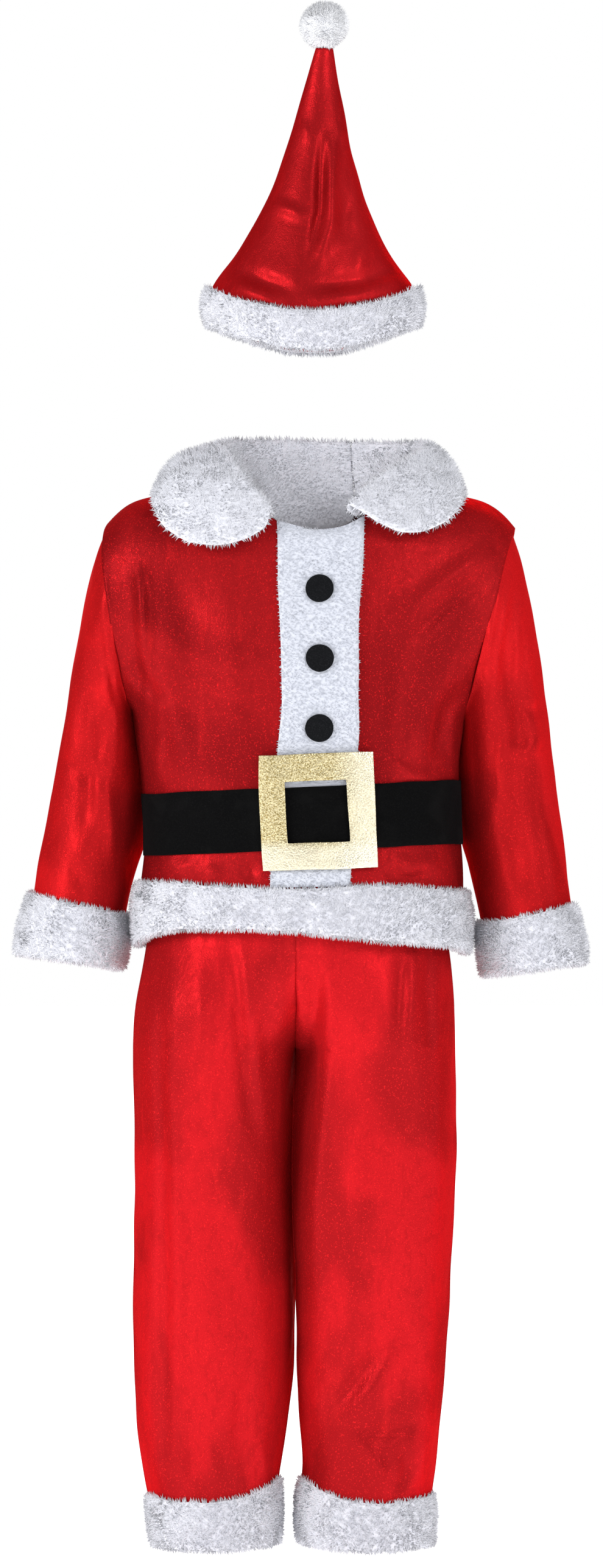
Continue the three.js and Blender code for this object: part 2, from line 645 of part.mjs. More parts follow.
const collarNet = makeNet(PROFILE, COLLAR_ROWS.length, (k, j) => collarPoint(COLLAR_ROWS[j], k));
// The face of the plush is the neck side of the stand and the outer side of the fall.
function faceCollar(net) {
  const middle = (j) => net.points.reduce((sum, line) => sum.add(line[j]), point(0, 0, 0))
    .divideScalar(net.rowCount);
  const facing = range(net.columnCount).reduce((sum, j) =>
    sum + net.points[3][j].clone().sub(middle(j)).dot(net.normals[3][j]), 0);
  if (facing < 0) {
    net.normals.flat().forEach((normal) => normal.negate());
    net.outward = !net.outward;
  }
}
faceCollar(collarNet);
addPiece('collar_left',
  wall(collarNet, 0, -COLLAR, { columns: [0, COLLAR_SPLIT], ends: false }), 'plush');
addPiece('collar_right',
  wall(collarNet, 0, -COLLAR, { columns: [COLLAR_SPLIT, COLLAR_ROWS.length - 1], ends: false }), 'plush');

// ---------------------------------------------------------------- sleeves

// The sleeve's columns follow the armhole: up the front from the armpit, and down the back.
const armAngles = [-90, ...HOLE_STEPS, ...ARCH_STEPS];
const SLEEVE_COLUMNS = 2 * (armAngles.length - 1);

function sleevePoint(hole, rows, i, j) {
  const last = armAngles.length - 1;
  const degrees = armAngles[j <= last ? j : 2 * last - j];
  const face = j <= last ? -1 : 1;
  const { outX, outZ, inX, inZ } = rows[i];
  const { half, back, bow, under } = ARM_DEPTH[i];
  const [lift, side] = [Math.sin(radians(degrees)), Math.cos(radians(degrees))];
  const clear = i === 0 ? ARMHOLE_GAP : 0;
  return point(
    mix(inX, outX, (1 + lift) / 2) + hole.side * (hole.bow * bow * side + clear),
    back + face * half * side + under * power(-lift, 2),
    mix(inZ, outZ, (1 + lift) / 2),
  );
}

Object.entries({ left: ARM_LEFT, right: ARM_RIGHT }).forEach(([side, rows]) => {
  const net = makeNet(rows.length, SLEEVE_COLUMNS,
    (i, j) => sleevePoint(ARMHOLE[side], rows, i, j),
    { loop: true, flatten: (i) => (i === 0 ? 'x' : null) });
  addPiece(`sleeve_${side}`, wall(net, 0, -CLOTH, { ends: false }), 'velvet');
  addTrim(`sleeve_cuff_${side}`, net, CUFF_ROW, CUFF_PILE);
});

// ---------------------------------------------------------------- trousers

const LEG_STEPS = 6;
const CROTCH_ROWS = CROTCH.steps.map((degrees) => ({
  z: CROTCH.top - CROTCH.drop * Math.sin(radians(degrees)),
  fork: Math.sin(radians(degrees)),
}));
const LEG_ROWS = [
  ...LEG_LEVELS.map((z) => ({ z, fork: 0 })),
  ...CROTCH_ROWS,
  ...LEG_LOWER.map((z) => ({ z, fork: 1 })),
  ...ANKLE.map((row) => ({ ...row, fork: 1 })),
];
const ANKLE_ROW = LEG_ROWS.length - ANKLE.length;

// The push of the folds on the cloth at a place on a face of the trousers.
function legFold(x, z, face) {
  return LEG_FOLDS.filter((fold) => fold.face === face).reduce((sum, fold) => {
    const line = new THREE.Line3(point(fold.x0, 0, fold.z0), point(fold.x1, 0, fold.z1));
    const near = line.closestPointToPoint(point(x, 0, z), true, point(0, 0, 0));
    const away = near.distanceTo(point(x, 0, z)) / fold.width;
    return sum + fold.depth * Math.exp(-away * away);
  }, 0);
}

// A half section of a leg. Above the fork the leg's oval reaches only to the middle seam.
function legPoint(side, face, row, step) {
  const outer = read(LEGS, 'z', row.z, side < 0 ? 'leftOut' : 'rightOut');
  const seam = read(LEGS, 'z', row.z, side < 0 ? 'leftIn' : 'rightIn');
  const depth = read(LEGS, 'z', row.z, face < 0 ? 'front' : 'back');
  const whole = Math.abs(outer - seam);
  const half = whole / (1 + power(row.fork, 2 / LEG_ROUND));
  const start = -Math.asin(row.fork);
  const turn = mix(start, Math.PI / 2, step / LEG_STEPS);
  const curve = (value) => Math.sign(value) * power(Math.abs(value), 2 / LEG_ROUND);
  const x = outer + side * half * (curve(Math.sin(turn)) - 1);
  const y = face * (depth * curve(Math.max(Math.cos(turn), 0)));
  const tip = Math.sin(turn);
  const rise = (row.inner ?? 0) * Math.max(-tip, 0) ** 2 + (row.outer ?? 0) * Math.max(tip, 0) ** 2;
  const push = legFold(x, row.z, face) * Math.cos(turn);
  const lean = -side * read(INSEAM_LEAN, 'z', row.z, 'lean') * power(-tip, 2);
  return point(x, y + face * push + lean, row.z + rise);
}

// A panel net runs from the middle seam or inseam to the outer seam.
function legNet(side, face) {
  return makeNet(LEG_ROWS.length, LEG_STEPS + 1,
    (i, j) => legPoint(side, face, LEG_ROWS[i], j),
    {
      flatten: (i, j) => {
        if (j === LEG_STEPS) return 'y';
        if (j > 0) return null;
        return LEG_ROWS[i].fork < 1 ? 'x' : 'y';
      },
    });
}

// Both nets of a leg joined round, for the trim at its end.
function legRing(front, back, rows) {
  const count = 2 * LEG_STEPS;
  const at = (kind, i, k) => (k <= LEG_STEPS ? front[kind][i][k] : back[kind][i][count - k]);
  const ring = makeNet(rows.length, count, (i, k) => at('points', rows[i], k).clone(), { loop: true });
  ring.normals = rows.map((i) => range(count).map((k) => at('normals', i, k).clone()));
  ring.normals.forEach((line) => line[0].set(Math.sign(line[0].x) || 1, 0, 0));
  return ring;
}

Object.entries({ left: -1, right: 1 }).forEach(([name, side]) => {
  const [front, back] = [legNet(side, -1), legNet(side, 1)];
  addPiece(`trouser_front_${name}`, wall(front, 0, -CLOTH), 'velvet');
  addPiece(`trouser_back_${name}`, wall(back, 0, -CLOTH), 'velvet');
  const ring = legRing(front, back, range(ANKLE.length).map((k) => ANKLE_ROW + k));
  addTrim(`trouser_cuff_${name}`, ring, 0, ANKLE_PILE);
});

// The elastic waistband, a plain turned band on top of the four panels.
const BAND_COLUMNS = 20;
const BAND_WALL = 3;
const LEGS_MIDDLE = (LEGS[0].leftIn + LEGS[0].rightIn) / 2;
const BAND = table(['z', 'halfWidth', 'depth'], [
  [-284, 112, 78],
  [-299, 112.5, 79],
  [-314, 113.5, 81],
]);
const bandNet = makeNet(BAND.length, BAND_COLUMNS, (i, j) => {
  const turn = (2 * Math.PI * j) / BAND_COLUMNS;
  const row = BAND[i];
  return point(LEGS_MIDDLE + row.halfWidth * Math.sin(turn), -row.depth * Math.cos(turn), row.z);
}, { loop: true });
addPiece('trouser_waistband', wall(bandNet, 0, -BAND_WALL, { ends: false }), 'velvet');

// ---------------------------------------------------------------- hat

function hatPoint(row, j) {
  const turn = (Math.PI * j) / HAT_HALF;
  const across = -Math.cos(turn);
  const middle = (row.left + row.right) / 2;
  const half = (row.right - row.left) / 2;
  return point(middle + half * across, -row.depth * Math.sin(turn), row.z + row.rise * across ** 2);
}

const hatNet = makeNet(HAT.length, 2 * HAT_HALF, (i, j) => hatPoint(HAT[i], j), { loop: true });

// One half of the hat, between its two side seams.
function hatHalf(first) {
  const half = makeNet(HAT.length, HAT_HALF + 1,
    (i, j) => hatNet.points[i][(first + j) % (2 * HAT_HALF)].clone());
  half.normals = range(HAT.length).map((i) =>
    range(HAT_HALF + 1).map((j) => hatNet.normals[i][(first + j) % (2 * HAT_HALF)].clone()));
  return half;
}
addPiece('hat_front', wall(hatHalf(0), 0, -CLOTH, { ends: false }), 'velvet');
addPiece('hat_back', wall(hatHalf(HAT_HALF), 0, -CLOTH, { ends: false }), 'velvet');
addTrim('hat_brim', hatNet, BRIM_ROW, BRIM_PILE);

const pompom = addPiece('hat_pompom',
  new THREE.SphereGeometry(POMPOM.radius, POMPOM.around, POMPOM.rings), 'plush');
pompom.rotation.x = Math.PI / 2;
pompom.position.set(POMPOM.x, 0, POMPOM.z);

export default suit;
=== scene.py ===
"""A child's santa suit: crushed red velvet hat, jacket and trousers with white plush trim.

Lengths are metres unless a name says millimetres. +Z is up, the front faces -Y, and +X is on the
right of a viewer who faces the suit. Each piece of cloth is cut from its solid in the frame, rounded,
laid in folds and, where it is plush, given its pile, so it stays where the frame holds it.
"""

import logging
import math
from collections.abc import Callable
from dataclasses import dataclass
from enum import Enum

import bmesh
import bpy
import numpy as np
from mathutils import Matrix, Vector


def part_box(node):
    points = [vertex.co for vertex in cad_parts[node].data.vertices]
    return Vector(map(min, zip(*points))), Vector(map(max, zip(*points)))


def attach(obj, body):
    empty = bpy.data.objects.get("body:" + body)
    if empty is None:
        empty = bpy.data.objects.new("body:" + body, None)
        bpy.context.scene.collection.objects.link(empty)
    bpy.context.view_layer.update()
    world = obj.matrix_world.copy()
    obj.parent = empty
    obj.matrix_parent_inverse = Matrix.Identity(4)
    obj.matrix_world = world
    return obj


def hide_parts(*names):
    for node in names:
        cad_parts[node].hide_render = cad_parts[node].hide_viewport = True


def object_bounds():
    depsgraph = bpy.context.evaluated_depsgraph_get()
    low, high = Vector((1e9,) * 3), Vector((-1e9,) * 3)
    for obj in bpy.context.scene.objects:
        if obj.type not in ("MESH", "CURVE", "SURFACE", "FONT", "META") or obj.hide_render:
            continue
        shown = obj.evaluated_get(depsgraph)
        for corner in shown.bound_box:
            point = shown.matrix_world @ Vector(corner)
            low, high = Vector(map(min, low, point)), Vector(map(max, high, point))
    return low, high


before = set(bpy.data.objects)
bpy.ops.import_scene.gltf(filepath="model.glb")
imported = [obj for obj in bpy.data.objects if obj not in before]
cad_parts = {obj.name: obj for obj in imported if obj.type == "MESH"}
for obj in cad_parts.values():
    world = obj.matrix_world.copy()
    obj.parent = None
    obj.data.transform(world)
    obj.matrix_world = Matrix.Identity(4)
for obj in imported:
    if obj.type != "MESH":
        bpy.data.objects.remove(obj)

LOG = logging.getLogger("santa_suit")
CAD_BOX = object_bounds()
MM = 0.001
BODY = "root"
MERGE = 2e-6
WALL_MOST = 0.0045  # the edges of a wall of cloth are shorter than this across
UNDERSIDE = 0.55  # a face turned down by more than this is the lower edge of a band
SHARP = math.radians(50)  # a rim or a corner bends by more than this
ELBOW = -0.33  # above this height a sleeve is drawn in to the body
DRAWN_OVER = 0.07  # and this much higher it is drawn in all the way

Colour = tuple[float, float, float]
Place = tuple[float, float, float]
Point = tuple[float, float]


class Side(Enum):
    """The face of the garment that a fold lies on."""

    FRONT = -1
    BACK = 1


class Held(Enum):
    """How a piece of cloth is held up."""

    DRAPED = "draped"
    HUNG = "hung"
    GATHERED = "gathered"
    LAID = "laid"


# ---------------------------------------------------------------- how the cloth lies


def ease(share: np.ndarray) -> np.ndarray:
    """Shares from 0 to 1 that start and end gently."""
    share = np.clip(share, 0.0, 1.0)
    return share * share * (3 - 2 * share)


@dataclass(frozen=True)
class Fold:
    """A soft ridge, or a trough where its height is negative, along a line on one face.

    The line runs through points (x, z). All its sizes are millimetres.
    """

    line: tuple[Point, ...]
    width: float
    height: float
    side: Side = Side.FRONT
    end: float = 0.02  # the share of the line at each end where it is already as low as it gets
    swelling: float = 0.6  # under 1, the fold is nearly as high near its ends as in its middle

    def rise(self, points: np.ndarray) -> np.ndarray:
        """How far the fold stands out at each point.

        Args:
            points: an array of x, y, z rows in millimetres.

        Returns:
            One height in millimetres for each point.
        """
        flat = points[:, [0, 2]]
        ends = np.array(self.line, float)
        lengths = np.linalg.norm(np.diff(ends, axis=0), axis=1)
        before = np.concatenate([[0.0], np.cumsum(lengths)])
        nearest = np.full(len(flat), np.inf)
        along = np.zeros(len(flat))
        for k, length in enumerate(lengths):
            step = (ends[k + 1] - ends[k]) / length
            run = np.clip((flat - ends[k]) @ step, 0.0, length)
            away = np.linalg.norm(flat - ends[k] - run[:, None] * step, axis=1)
            closer = away < nearest
            nearest = np.where(closer, away, nearest)
            along = np.where(closer, (before[k] + run) / before[-1], along)
        taper = np.sin(math.pi * np.clip(along, self.end, 1 - self.end)) ** self.swelling
        return self.height * taper * np.exp(-((nearest / self.width) ** 2))


@dataclass(frozen=True)
class Swell:
    """A slow unevenness of the cloth: a few long waves laid over each other, in millimetres."""

    length: float
    height: float
    seed: int
    waves: int = 14
    upright: float = 0.35

    def push(self, points: np.ndarray) -> np.ndarray:
        """Where the waves carry each point.

        Args:
            points: an array of x, y, z rows in millimetres.

        Returns:
            An array of the same shape, the offsets in millimetres.
        """
        draw = np.random.default_rng(self.seed)
        moved = np.zeros_like(points)
        for _ in range(self.waves):
            heading = draw.normal(size=3) * (1.0, 1.0, self.upright)
            heading *= 2 * math.pi / (self.length * draw.uniform(0.7, 1.5)) / np.linalg.norm(heading)
            phase = draw.uniform(0, 2 * math.pi)
            reach = draw.normal(size=3) * (1.0, 1.0, 0.3)
            moved += np.sin(points @ heading + phase)[:, None] * reach
        return moved * self.height / math.sqrt(self.waves)


@dataclass(frozen=True)
class Drape:
    """The lie of all the cloth: one field of offsets, so that pieces sewn together move together."""

    folds: tuple[Fold, ...]
    swells: tuple[Swell, ...]
    edge: float = 22.0  # millimetres from the sides over which a fold fades away
    depth: float = 1.7  # how much deeper than written every fold lies
    narrow: float = 2.6  # millimetres that the back's seams lie nearer the middle than the front's
    flank: float = 60.0  # millimetres from the middle where they lie that far in

    def lay(self, mesh: bpy.types.Mesh) -> None:
        """Moves a mesh's vertices to where the cloth lies.

        Args:
            mesh: the piece to lay.
        """
        points = read_points(mesh) / MM
        offsets = sum(swell.push(points) for swell in self.swells)
        for fold in self.folds:
            facing = ease(points[:, 1] * fold.side.value / self.edge)
            offsets[:, 1] += fold.side.value * fold.rise(points) * facing * self.depth
        aside = np.clip(points[:, 0] / self.flank, -1.0, 1.0)
        offsets[:, 0] -= self.narrow * aside * ease(points[:, 1] / (2 * self.edge))
        write_points(mesh, (points + offsets) * MM)


def read_points(mesh: bpy.types.Mesh) -> np.ndarray:
    """A mesh's vertices as an array of x, y, z rows.

    Args:
        mesh: the mesh to read.

    Returns:
        One row for each vertex, in metres.
    """
    points = np.empty(len(mesh.vertices) * 3, np.float32)
    mesh.vertices.foreach_get("co", points)
    return points.reshape(-1, 3).astype(float)


def write_points(mesh: bpy.types.Mesh, points: np.ndarray) -> None:
    """Puts a mesh's vertices at the rows of an array."""
    mesh.vertices.foreach_set("co", points.astype(np.float32).ravel())
    mesh.update()


def draw_in(mesh: bpy.types.Mesh, reach: float) -> None:
    """Draws the upper part of a sleeve in towards the body, so that its head lies in the armhole.

    Args:
        mesh: the sleeve.
        reach: how far it comes in, in metres.
    """
    points = read_points(mesh)
    share = np.clip((points[:, 2] - ELBOW) / DRAWN_OVER, 0.0, 1.0)
    points[:, 0] -= np.sign(points[:, 0]) * reach * share
    write_points(mesh, points)


JACKET_FOLDS = (
    Fold(((-152, -60), (-151, -95), (-148, -125)), 6, 3.5),
    Fold(((-158, -140), (-146, -165), (-128, -180)), 7, -4.5),
    Fold(((-140, -150), (-118, -205), (-108, -245)), 12, 3.0),
    Fold(((-155, -60), (-152, -100), (-150, -150)), 4, 1.8),
    Fold(((-150, -70), (-146, -130), (-144, -190)), 5, 2.2),
    Fold(((-136, -170), (-132, -215), (-134, -250)), 5, 1.6),
    Fold(((-120, -60), (-104, -130), (-98, -200)), 16, -2.4),
    Fold(((-70, -75), (-62, -150), (-66, -230)), 15, 2.2),
    Fold(((-92, -330), (-86, -345)), 9, 2.5),
    Fold(((-48, -322), (-52, -346)), 7, -2.5),
    Fold(((178, -40), (140, -62), (98, -96)), 10, 3.6),
    Fold(((168, -66), (128, -92), (92, -128)), 8, -2.8),
    Fold(((150, -165), (128, -190), (120, -235)), 9, -5.0),
    Fold(((152, -190), (142, -220), (136, -255)), 7, 3.5),
    Fold(((84, -120), (88, -180), (82, -246)), 15, -2.4),
    Fold(((72, -232), (96, -248), (118, -252)), 6, 2.2),
    Fold(((74, -322), (96, -332), (124, -326)), 7, 3.6),
    Fold(((70, -336), (92, -345), (120, -342)), 5, -2.4),
    Fold(((-132, -322), (-118, -334), (-100, -328)), 7, 2.6),
    Fold(((-150, -150), (-128, -185), (-104, -205)), 9, -4.0, Side.BACK),
    Fold(((148, -150), (124, -190), (104, -212)), 9, -4.2, Side.BACK),
    Fold(((-96, -50), (-84, -130), (-88, -235)), 15, 2.6, Side.BACK),
    Fold(((-48, -40), (-40, -120), (-34, -240)), 14, -2.2, Side.BACK),
    Fold(((92, -60), (96, -140), (84, -240)), 14, 2.4, Side.BACK),
    Fold(((10, -70), (2, -150), (-4, -245)), 13, 1.8, Side.BACK),
    Fold(((-100, -322), (-84, -338), (-58, -330)), 7, 2.8, Side.BACK),
    Fold(((60, -324), (84, -340), (118, -334)), 7, 2.6, Side.BACK),
)

SLEEVE_FOLDS = (
    Fold(((-192, -60), (-214, -180), (-236, -300)), 9, 2.4),
    Fold(((-176, -170), (-196, -230), (-206, -300)), 8, -3.2),
    Fold(((-186, -250), (-176, -300), (-172, -345)), 7, 2.6),
    Fold(((-232, -230), (-206, -248), (-184, -252)), 6, -2.4),
    Fold(((-214, -330), (-206, -352)), 5, -2.0),
    Fold(((206, -66), (214, -150), (222, -230)), 9, 2.4),
    Fold(((186, -70), (176, -110), (168, -165)), 4, 2.0),
    Fold(((194, -70), (184, -120), (174, -180)), 4, 2.2),
    Fold(((202, -80), (200, -140), (190, -210)), 4, 2.0),
    Fold(((190, -190), (184, -240), (180, -290)), 6, 2.0),
    Fold(((-186, -60), (-192, -110), (-180, -160)), 5, 2.0),
    Fold(((-196, -90), (-186, -140), (-172, -190)), 4, -2.0),
    Fold(((-200, -190), (-196, -240), (-190, -300)), 5, 1.8),
    Fold(((186, -120), (196, -180), (200, -240)), 8, -3.0),
    Fold(((236, -176), (218, -190), (204, -188)), 5, -3.0),
    Fold(((226, -210), (206, -228), (188, -226)), 6, 2.6),
    Fold(((180, -260), (192, -310), (200, -360)), 8, -2.6),
    Fold(((222, -290), (230, -330), (232, -362)), 6, 2.2),
    Fold(((-190, -80), (-206, -180), (-220, -290)), 9, 2.4, Side.BACK),
    Fold(((-178, -190), (-198, -214), (-222, -218)), 7, -3.2, Side.BACK),
    Fold(((198, -90), (208, -180), (216, -280)), 9, -2.4, Side.BACK),
    Fold(((178, -200), (198, -226), (220, -224)), 7, -3.2, Side.BACK),
)

TROUSER_FOLDS = (
    Fold(((-133, -405), (-131, -600), (-128, -890)), 6, -3.2),
    Fold(((-124, -410), (-122, -600), (-119, -880)), 7, 2.2),
    Fold(((-73, -396), (-63, -449), (-50, -554), (-41, -590)), 6, -3.4),
    Fold(((-62, -400), (-52, -449), (-40, -548)), 7, 2.4),
    Fold(((-100, -400), (-94, -470), (-96, -540)), 9, 1.8),
    Fold(((-28, -410), (-22, -470), (-26, -560)), 9, 2.4),
    Fold(((10, -415), (9, -459), (3, -502), (-3, -554), (-7, -607), (-11, -660)), 8, -7.0),
    Fold(((24, -430), (18, -520), (10, -620), (8, -700)), 10, 3.4),
    Fold(((91, -407), (88, -449), (83, -502)), 6, -3.0),
    Fold(((102, -404), (98, -452), (92, -520)), 7, 2.4),
    Fold(((112, -405), (114, -502)), 5, -2.6),
    Fold(((124, -404), (126, -520), (122, -640)), 7, 2.2),
    Fold(((60, -560), (54, -660), (40, -760)), 16, 2.0),
    Fold(((73, -762), (46, -801), (22, -832)), 8, -4.4),
    Fold(((92, -768), (66, -806), (40, -838)), 8, 3.2),
    Fold(((46, -846), (74, -851), (104, -842)), 7, -4.6),
    Fold(((55, -864), (69, -884), (62, -905)), 5, 3.4),
    Fold(((88, -862), (94, -884), (86, -904)), 5, -3.0),
    Fold(((-92, -700), (-78, -780), (-84, -860)), 14, 2.0),
    Fold(((-52, -800), (-62, -850), (-54, -895)), 7, -3.0),
    Fold(((-108, -850), (-104, -895)), 5, -2.6),
    Fold(((-84, -866), (-82, -900)), 5, 2.6),
    Fold(((-36, -862), (-34, -896)), 5, 2.2),
    Fold(((112, -856), (110, -896)), 6, 2.4),
    Fold(((-128, -400), (-130, -600), (-126, -860)), 7, -3.0, Side.BACK),
    Fold(((6, -420), (4, -520), (-2, -600), (-6, -680)), 9, -7.5, Side.BACK),
    Fold(((-60, -400), (-56, -470), (-44, -560)), 8, 3.0, Side.BACK),
    Fold(((-84, -404), (-90, -500), (-88, -600)), 9, -2.6, Side.BACK),
    Fold(((66, -400), (60, -480), (52, -560)), 8, 3.0, Side.BACK),
    Fold(((96, -404), (98, -520), (94, -640)), 8, -3.0, Side.BACK),
    Fold(((-40, -640), (-66, -690), (-92, -720)), 9, -3.8, Side.BACK),
    Fold(((36, -650), (60, -696), (90, -716)), 9, -3.8, Side.BACK),
    Fold(((-44, -690), (-74, -735), (-100, -750)), 9, 3.0, Side.BACK),
    Fold(((44, -700), (70, -742), (96, -756)), 9, 3.0, Side.BACK),
    Fold(((-90, -850), (-88, -898)), 6, 2.8, Side.BACK),
    Fold(((-56, -856), (-58, -898)), 5, -2.8, Side.BACK),
    Fold(((54, -852), (56, -898)), 6, 2.8, Side.BACK),
    Fold(((88, -860), (86, -898)), 5, -2.6, Side.BACK),
)

HAT_FOLDS = (
    Fold(((26, 336), (26, 259), (15, 221)), 6, 4.2),
    Fold(((16, 340), (15, 268), (4, 224)), 5, -3.6),
    Fold(((-67, 204), (-44, 192), (-20, 184)), 7, 4.6),
    Fold(((-60, 216), (-36, 204), (-10, 196)), 6, -2.6),
    Fold(((2, 186), (48, 190), (92, 205)), 8, 4.8),
    Fold(((12, 200), (54, 205), (84, 218)), 6, -2.4),
    Fold(((36, 348), (28, 340)), 4, 2.0),
    Fold(((-6, 350), (4, 338)), 4, 2.0),
    Fold(((-30, 276), (-12, 270), (2, 262)), 5, 2.6),
    Fold(((44, 290), (36, 262), (40, 238)), 7, -2.2),
    Fold(((62, 246), (52, 226), (50, 208)), 7, 2.4),
    Fold(((18, 330), (12, 262), (6, 214)), 6, 3.6, Side.BACK),
    Fold(((28, 330), (26, 270), (22, 220)), 5, -3.0, Side.BACK),
    Fold(((-58, 206), (-30, 192), (0, 186)), 6, 3.2, Side.BACK),
    Fold(((30, 190), (60, 198), (88, 208)), 6, 2.8, Side.BACK),
)

SUIT_DRAPE = Drape(
    folds=JACKET_FOLDS + SLEEVE_FOLDS + TROUSER_FOLDS + HAT_FOLDS,
    swells=(Swell(150, 1.5, 11), Swell(62, 0.8, 12), Swell(30, 0.28, 13, upright=0.6)),
)


# ---------------------------------------------------------------- finishes


class Weave:
    """A material's node tree, put together a node at a time."""

    def __init__(self, name: str) -> None:
        """Starts a material with its surface shader in place.

        Args:
            name: the material's name.
        """
        self.material = bpy.data.materials.new(name)
        self.material.use_nodes = True
        self.nodes = self.material.node_tree.nodes
        self.links = self.material.node_tree.links
        self.shader = self.nodes["Principled BSDF"]
        self.place = self.nodes.new("ShaderNodeTexCoord").outputs["Object"]

    def set(self, **values: float | tuple) -> None:
        """Sets sockets of the shader, named with underscores for spaces."""
        for name, value in values.items():
            self.shader.inputs[name.replace("_", " ")].default_value = value

    def stretch(self, scale: Colour) -> bpy.types.NodeSocket:
        """Object coordinates with a factor on each axis.

        Args:
            scale: the factors on X, Y and Z.

        Returns:
            The coordinates.
        """
        mapping = self.nodes.new("ShaderNodeMapping")
        mapping.inputs["Scale"].default_value = scale
        self.links.new(self.place, mapping.inputs["Vector"])
        return mapping.outputs["Vector"]

    def noise(self, scale: float, detail: float = 2.0, twist: float = 0.0,
              place: bpy.types.NodeSocket | None = None) -> bpy.types.NodeSocket:
        """A cloudy pattern.

        Args:
            scale: clouds to a metre.
            detail: finer layers in each cloud.
            twist: how far the clouds are pulled about.
            place: the coordinates to read, or None for the object's own.

        Returns:
            The pattern's value, around a half.
        """
        node = self.nodes.new("ShaderNodeTexNoise")
        node.inputs["Scale"].default_value = scale
        node.inputs["Detail"].default_value = detail
        node.inputs["Distortion"].default_value = twist
        self.links.new(place or self.place, node.inputs["Vector"])
        return node.outputs["Fac"]

    def cells(self, scale: float) -> bpy.types.NodeSocket:
        """The distance to the nearest of many scattered points.

        Args:
            scale: points to a metre.

        Returns:
            The distance.
        """
        node = self.nodes.new("ShaderNodeTexVoronoi")
        node.inputs["Scale"].default_value = scale
        self.links.new(self.place, node.inputs["Vector"])
        return node.outputs["Distance"]

    def ramp(self, value: bpy.types.NodeSocket, low: float, high: float,
             start: float = 0.0, end: float = 1.0) -> bpy.types.NodeSocket:
        """Carries a value from the range low to high over to the range start to end.

        Args:
            value: what is carried over.
            low: where its own range starts.
            high: where its own range ends.
            start: what it becomes at low.
            end: what it becomes at high.

        Returns:
            The new value, eased at both ends.
        """
        node = self.nodes.new("ShaderNodeMapRange")
        node.interpolation_type = "SMOOTHSTEP"
        for name, number in (("From Min", low), ("From Max", high), ("To Min", start), ("To Max", end)):
            node.inputs[name].default_value = number
        self.links.new(value, node.inputs["Value"])
        return node.outputs["Result"]

    def blend(self, share: bpy.types.NodeSocket, first: object, second: object) -> bpy.types.NodeSocket:
        """A mix of two colours, each a socket or a plain colour.

        Args:
            share: how much of the second colour there is.
            first: the colour where the share is 0.
            second: the colour where the share is 1.

        Returns:
            The mixed colour.
        """
        node = self.nodes.new("ShaderNodeMix")
        node.data_type = "RGBA"
        self.links.new(share, node.inputs["Factor"])
        for name, colour in (("A", first), ("B", second)):
            socket = next(s for s in node.inputs if s.name == name and s.type == "RGBA")
            if isinstance(colour, bpy.types.NodeSocket):
                self.links.new(colour, socket)
            else:
                socket.default_value = (*colour, 1.0)
        return next(s for s in node.outputs if s.type == "RGBA")

    def bump(self, *layers: tuple[bpy.types.NodeSocket, float, float]) -> None:
        """Roughens the surface with layers of (pattern, depth in metres, strength)."""
        below = None
        for pattern, depth, strength in layers:
            node = self.nodes.new("ShaderNodeBump")
            node.inputs["Distance"].default_value = depth
            node.inputs["Strength"].default_value = strength
            self.links.new(pattern, node.inputs["Height"])
            if below is not None:
                self.links.new(below, node.inputs["Normal"])
            below = node.outputs["Normal"]
        self.links.new(below, self.shader.inputs["Normal"])

    def axis(self, name: str) -> bpy.types.NodeSocket:
        """The place along one axis.

        Args:
            name: X, Y or Z.

        Returns:
            The place, in metres.
        """
        node = self.nodes.new("ShaderNodeSeparateXYZ")
        self.links.new(self.place, node.inputs[0])
        return node.outputs[name]

    def colour(self, socket: bpy.types.NodeSocket) -> None:
        """Gives the shader its base colour."""
        self.links.new(socket, self.shader.inputs["Base Color"])

    def roughness(self, socket: bpy.types.NodeSocket) -> None:
        """Gives the shader its roughness."""
        self.links.new(socket, self.shader.inputs["Roughness"])


@dataclass(frozen=True)
class Velvet:
    """Crushed velvet: a short shiny nap that lies this way and that, with painted sheen in streaks and
    glints.
    """

    name: str
    body: Colour
    deep: Colour
    # the colour of the painted sheen, in its streaks and glints
    painted_sheen: Colour
    gloss: float = 0.4  # how much of the light the nap throws back as satin does
    painted_glints: float = 0.6  # the share of the painted sheen colour in the painted glints of single hairs

    def make(self) -> bpy.types.Material:
        """The velvet's material.

        Returns:
            The material, its nodes linked.
        """
        weave = Weave(self.name)
        patches = weave.noise(7.0, 8.0, 0.5, weave.stretch((1.0, 1.0, 0.6)))
        sheen_streaks = weave.noise(60.0, 6.0, 0.6, weave.stretch((1.0, 1.0, 0.22)))
        crushed = weave.noise(130.0, 5.0, 0.8, weave.stretch((1.0, 1.0, 0.6)))
        nap = weave.noise(900.0, 2.0)
        painted_glint = weave.noise(760.0, 2.0, 0.4)
        tone = weave.blend(weave.ramp(patches, 0.41, 0.53), self.deep, self.body)
        # painted sheen: lighter streaks along the nap, standing in for the light it throws back
        tone = weave.blend(weave.ramp(sheen_streaks, 0.56, 0.74, 0.0, 0.16), tone, self.painted_sheen)
        tone = weave.blend(weave.ramp(crushed, 0.5, 0.34, 0.0, 0.3), tone, self.deep)
        tone = weave.blend(weave.ramp(nap, 0.3, 0.56, 0.36, 0.0), tone, self.deep)
        # painted glints: specks of the sheen colour where single hairs glint
        tone = weave.blend(weave.ramp(painted_glint, 0.59, 0.67, 0.0, self.painted_glints), tone, self.painted_sheen)
        weave.colour(tone)
        weave.roughness(weave.ramp(crushed, 0.35, 0.7, 0.44, 0.3))
        weave.set(Metallic=self.gloss, Specular_IOR_Level=0.0, Specular_Tint=(0.7, 0.02, 0.02, 1.0),
                  Sheen_Weight=0.05, Sheen_Roughness=0.35, Sheen_Tint=(1.0, 0.08, 0.06, 1.0))
        weave.bump((crushed, 0.0009, 0.5), (nap, 0.0005, 0.5))
        return weave.material


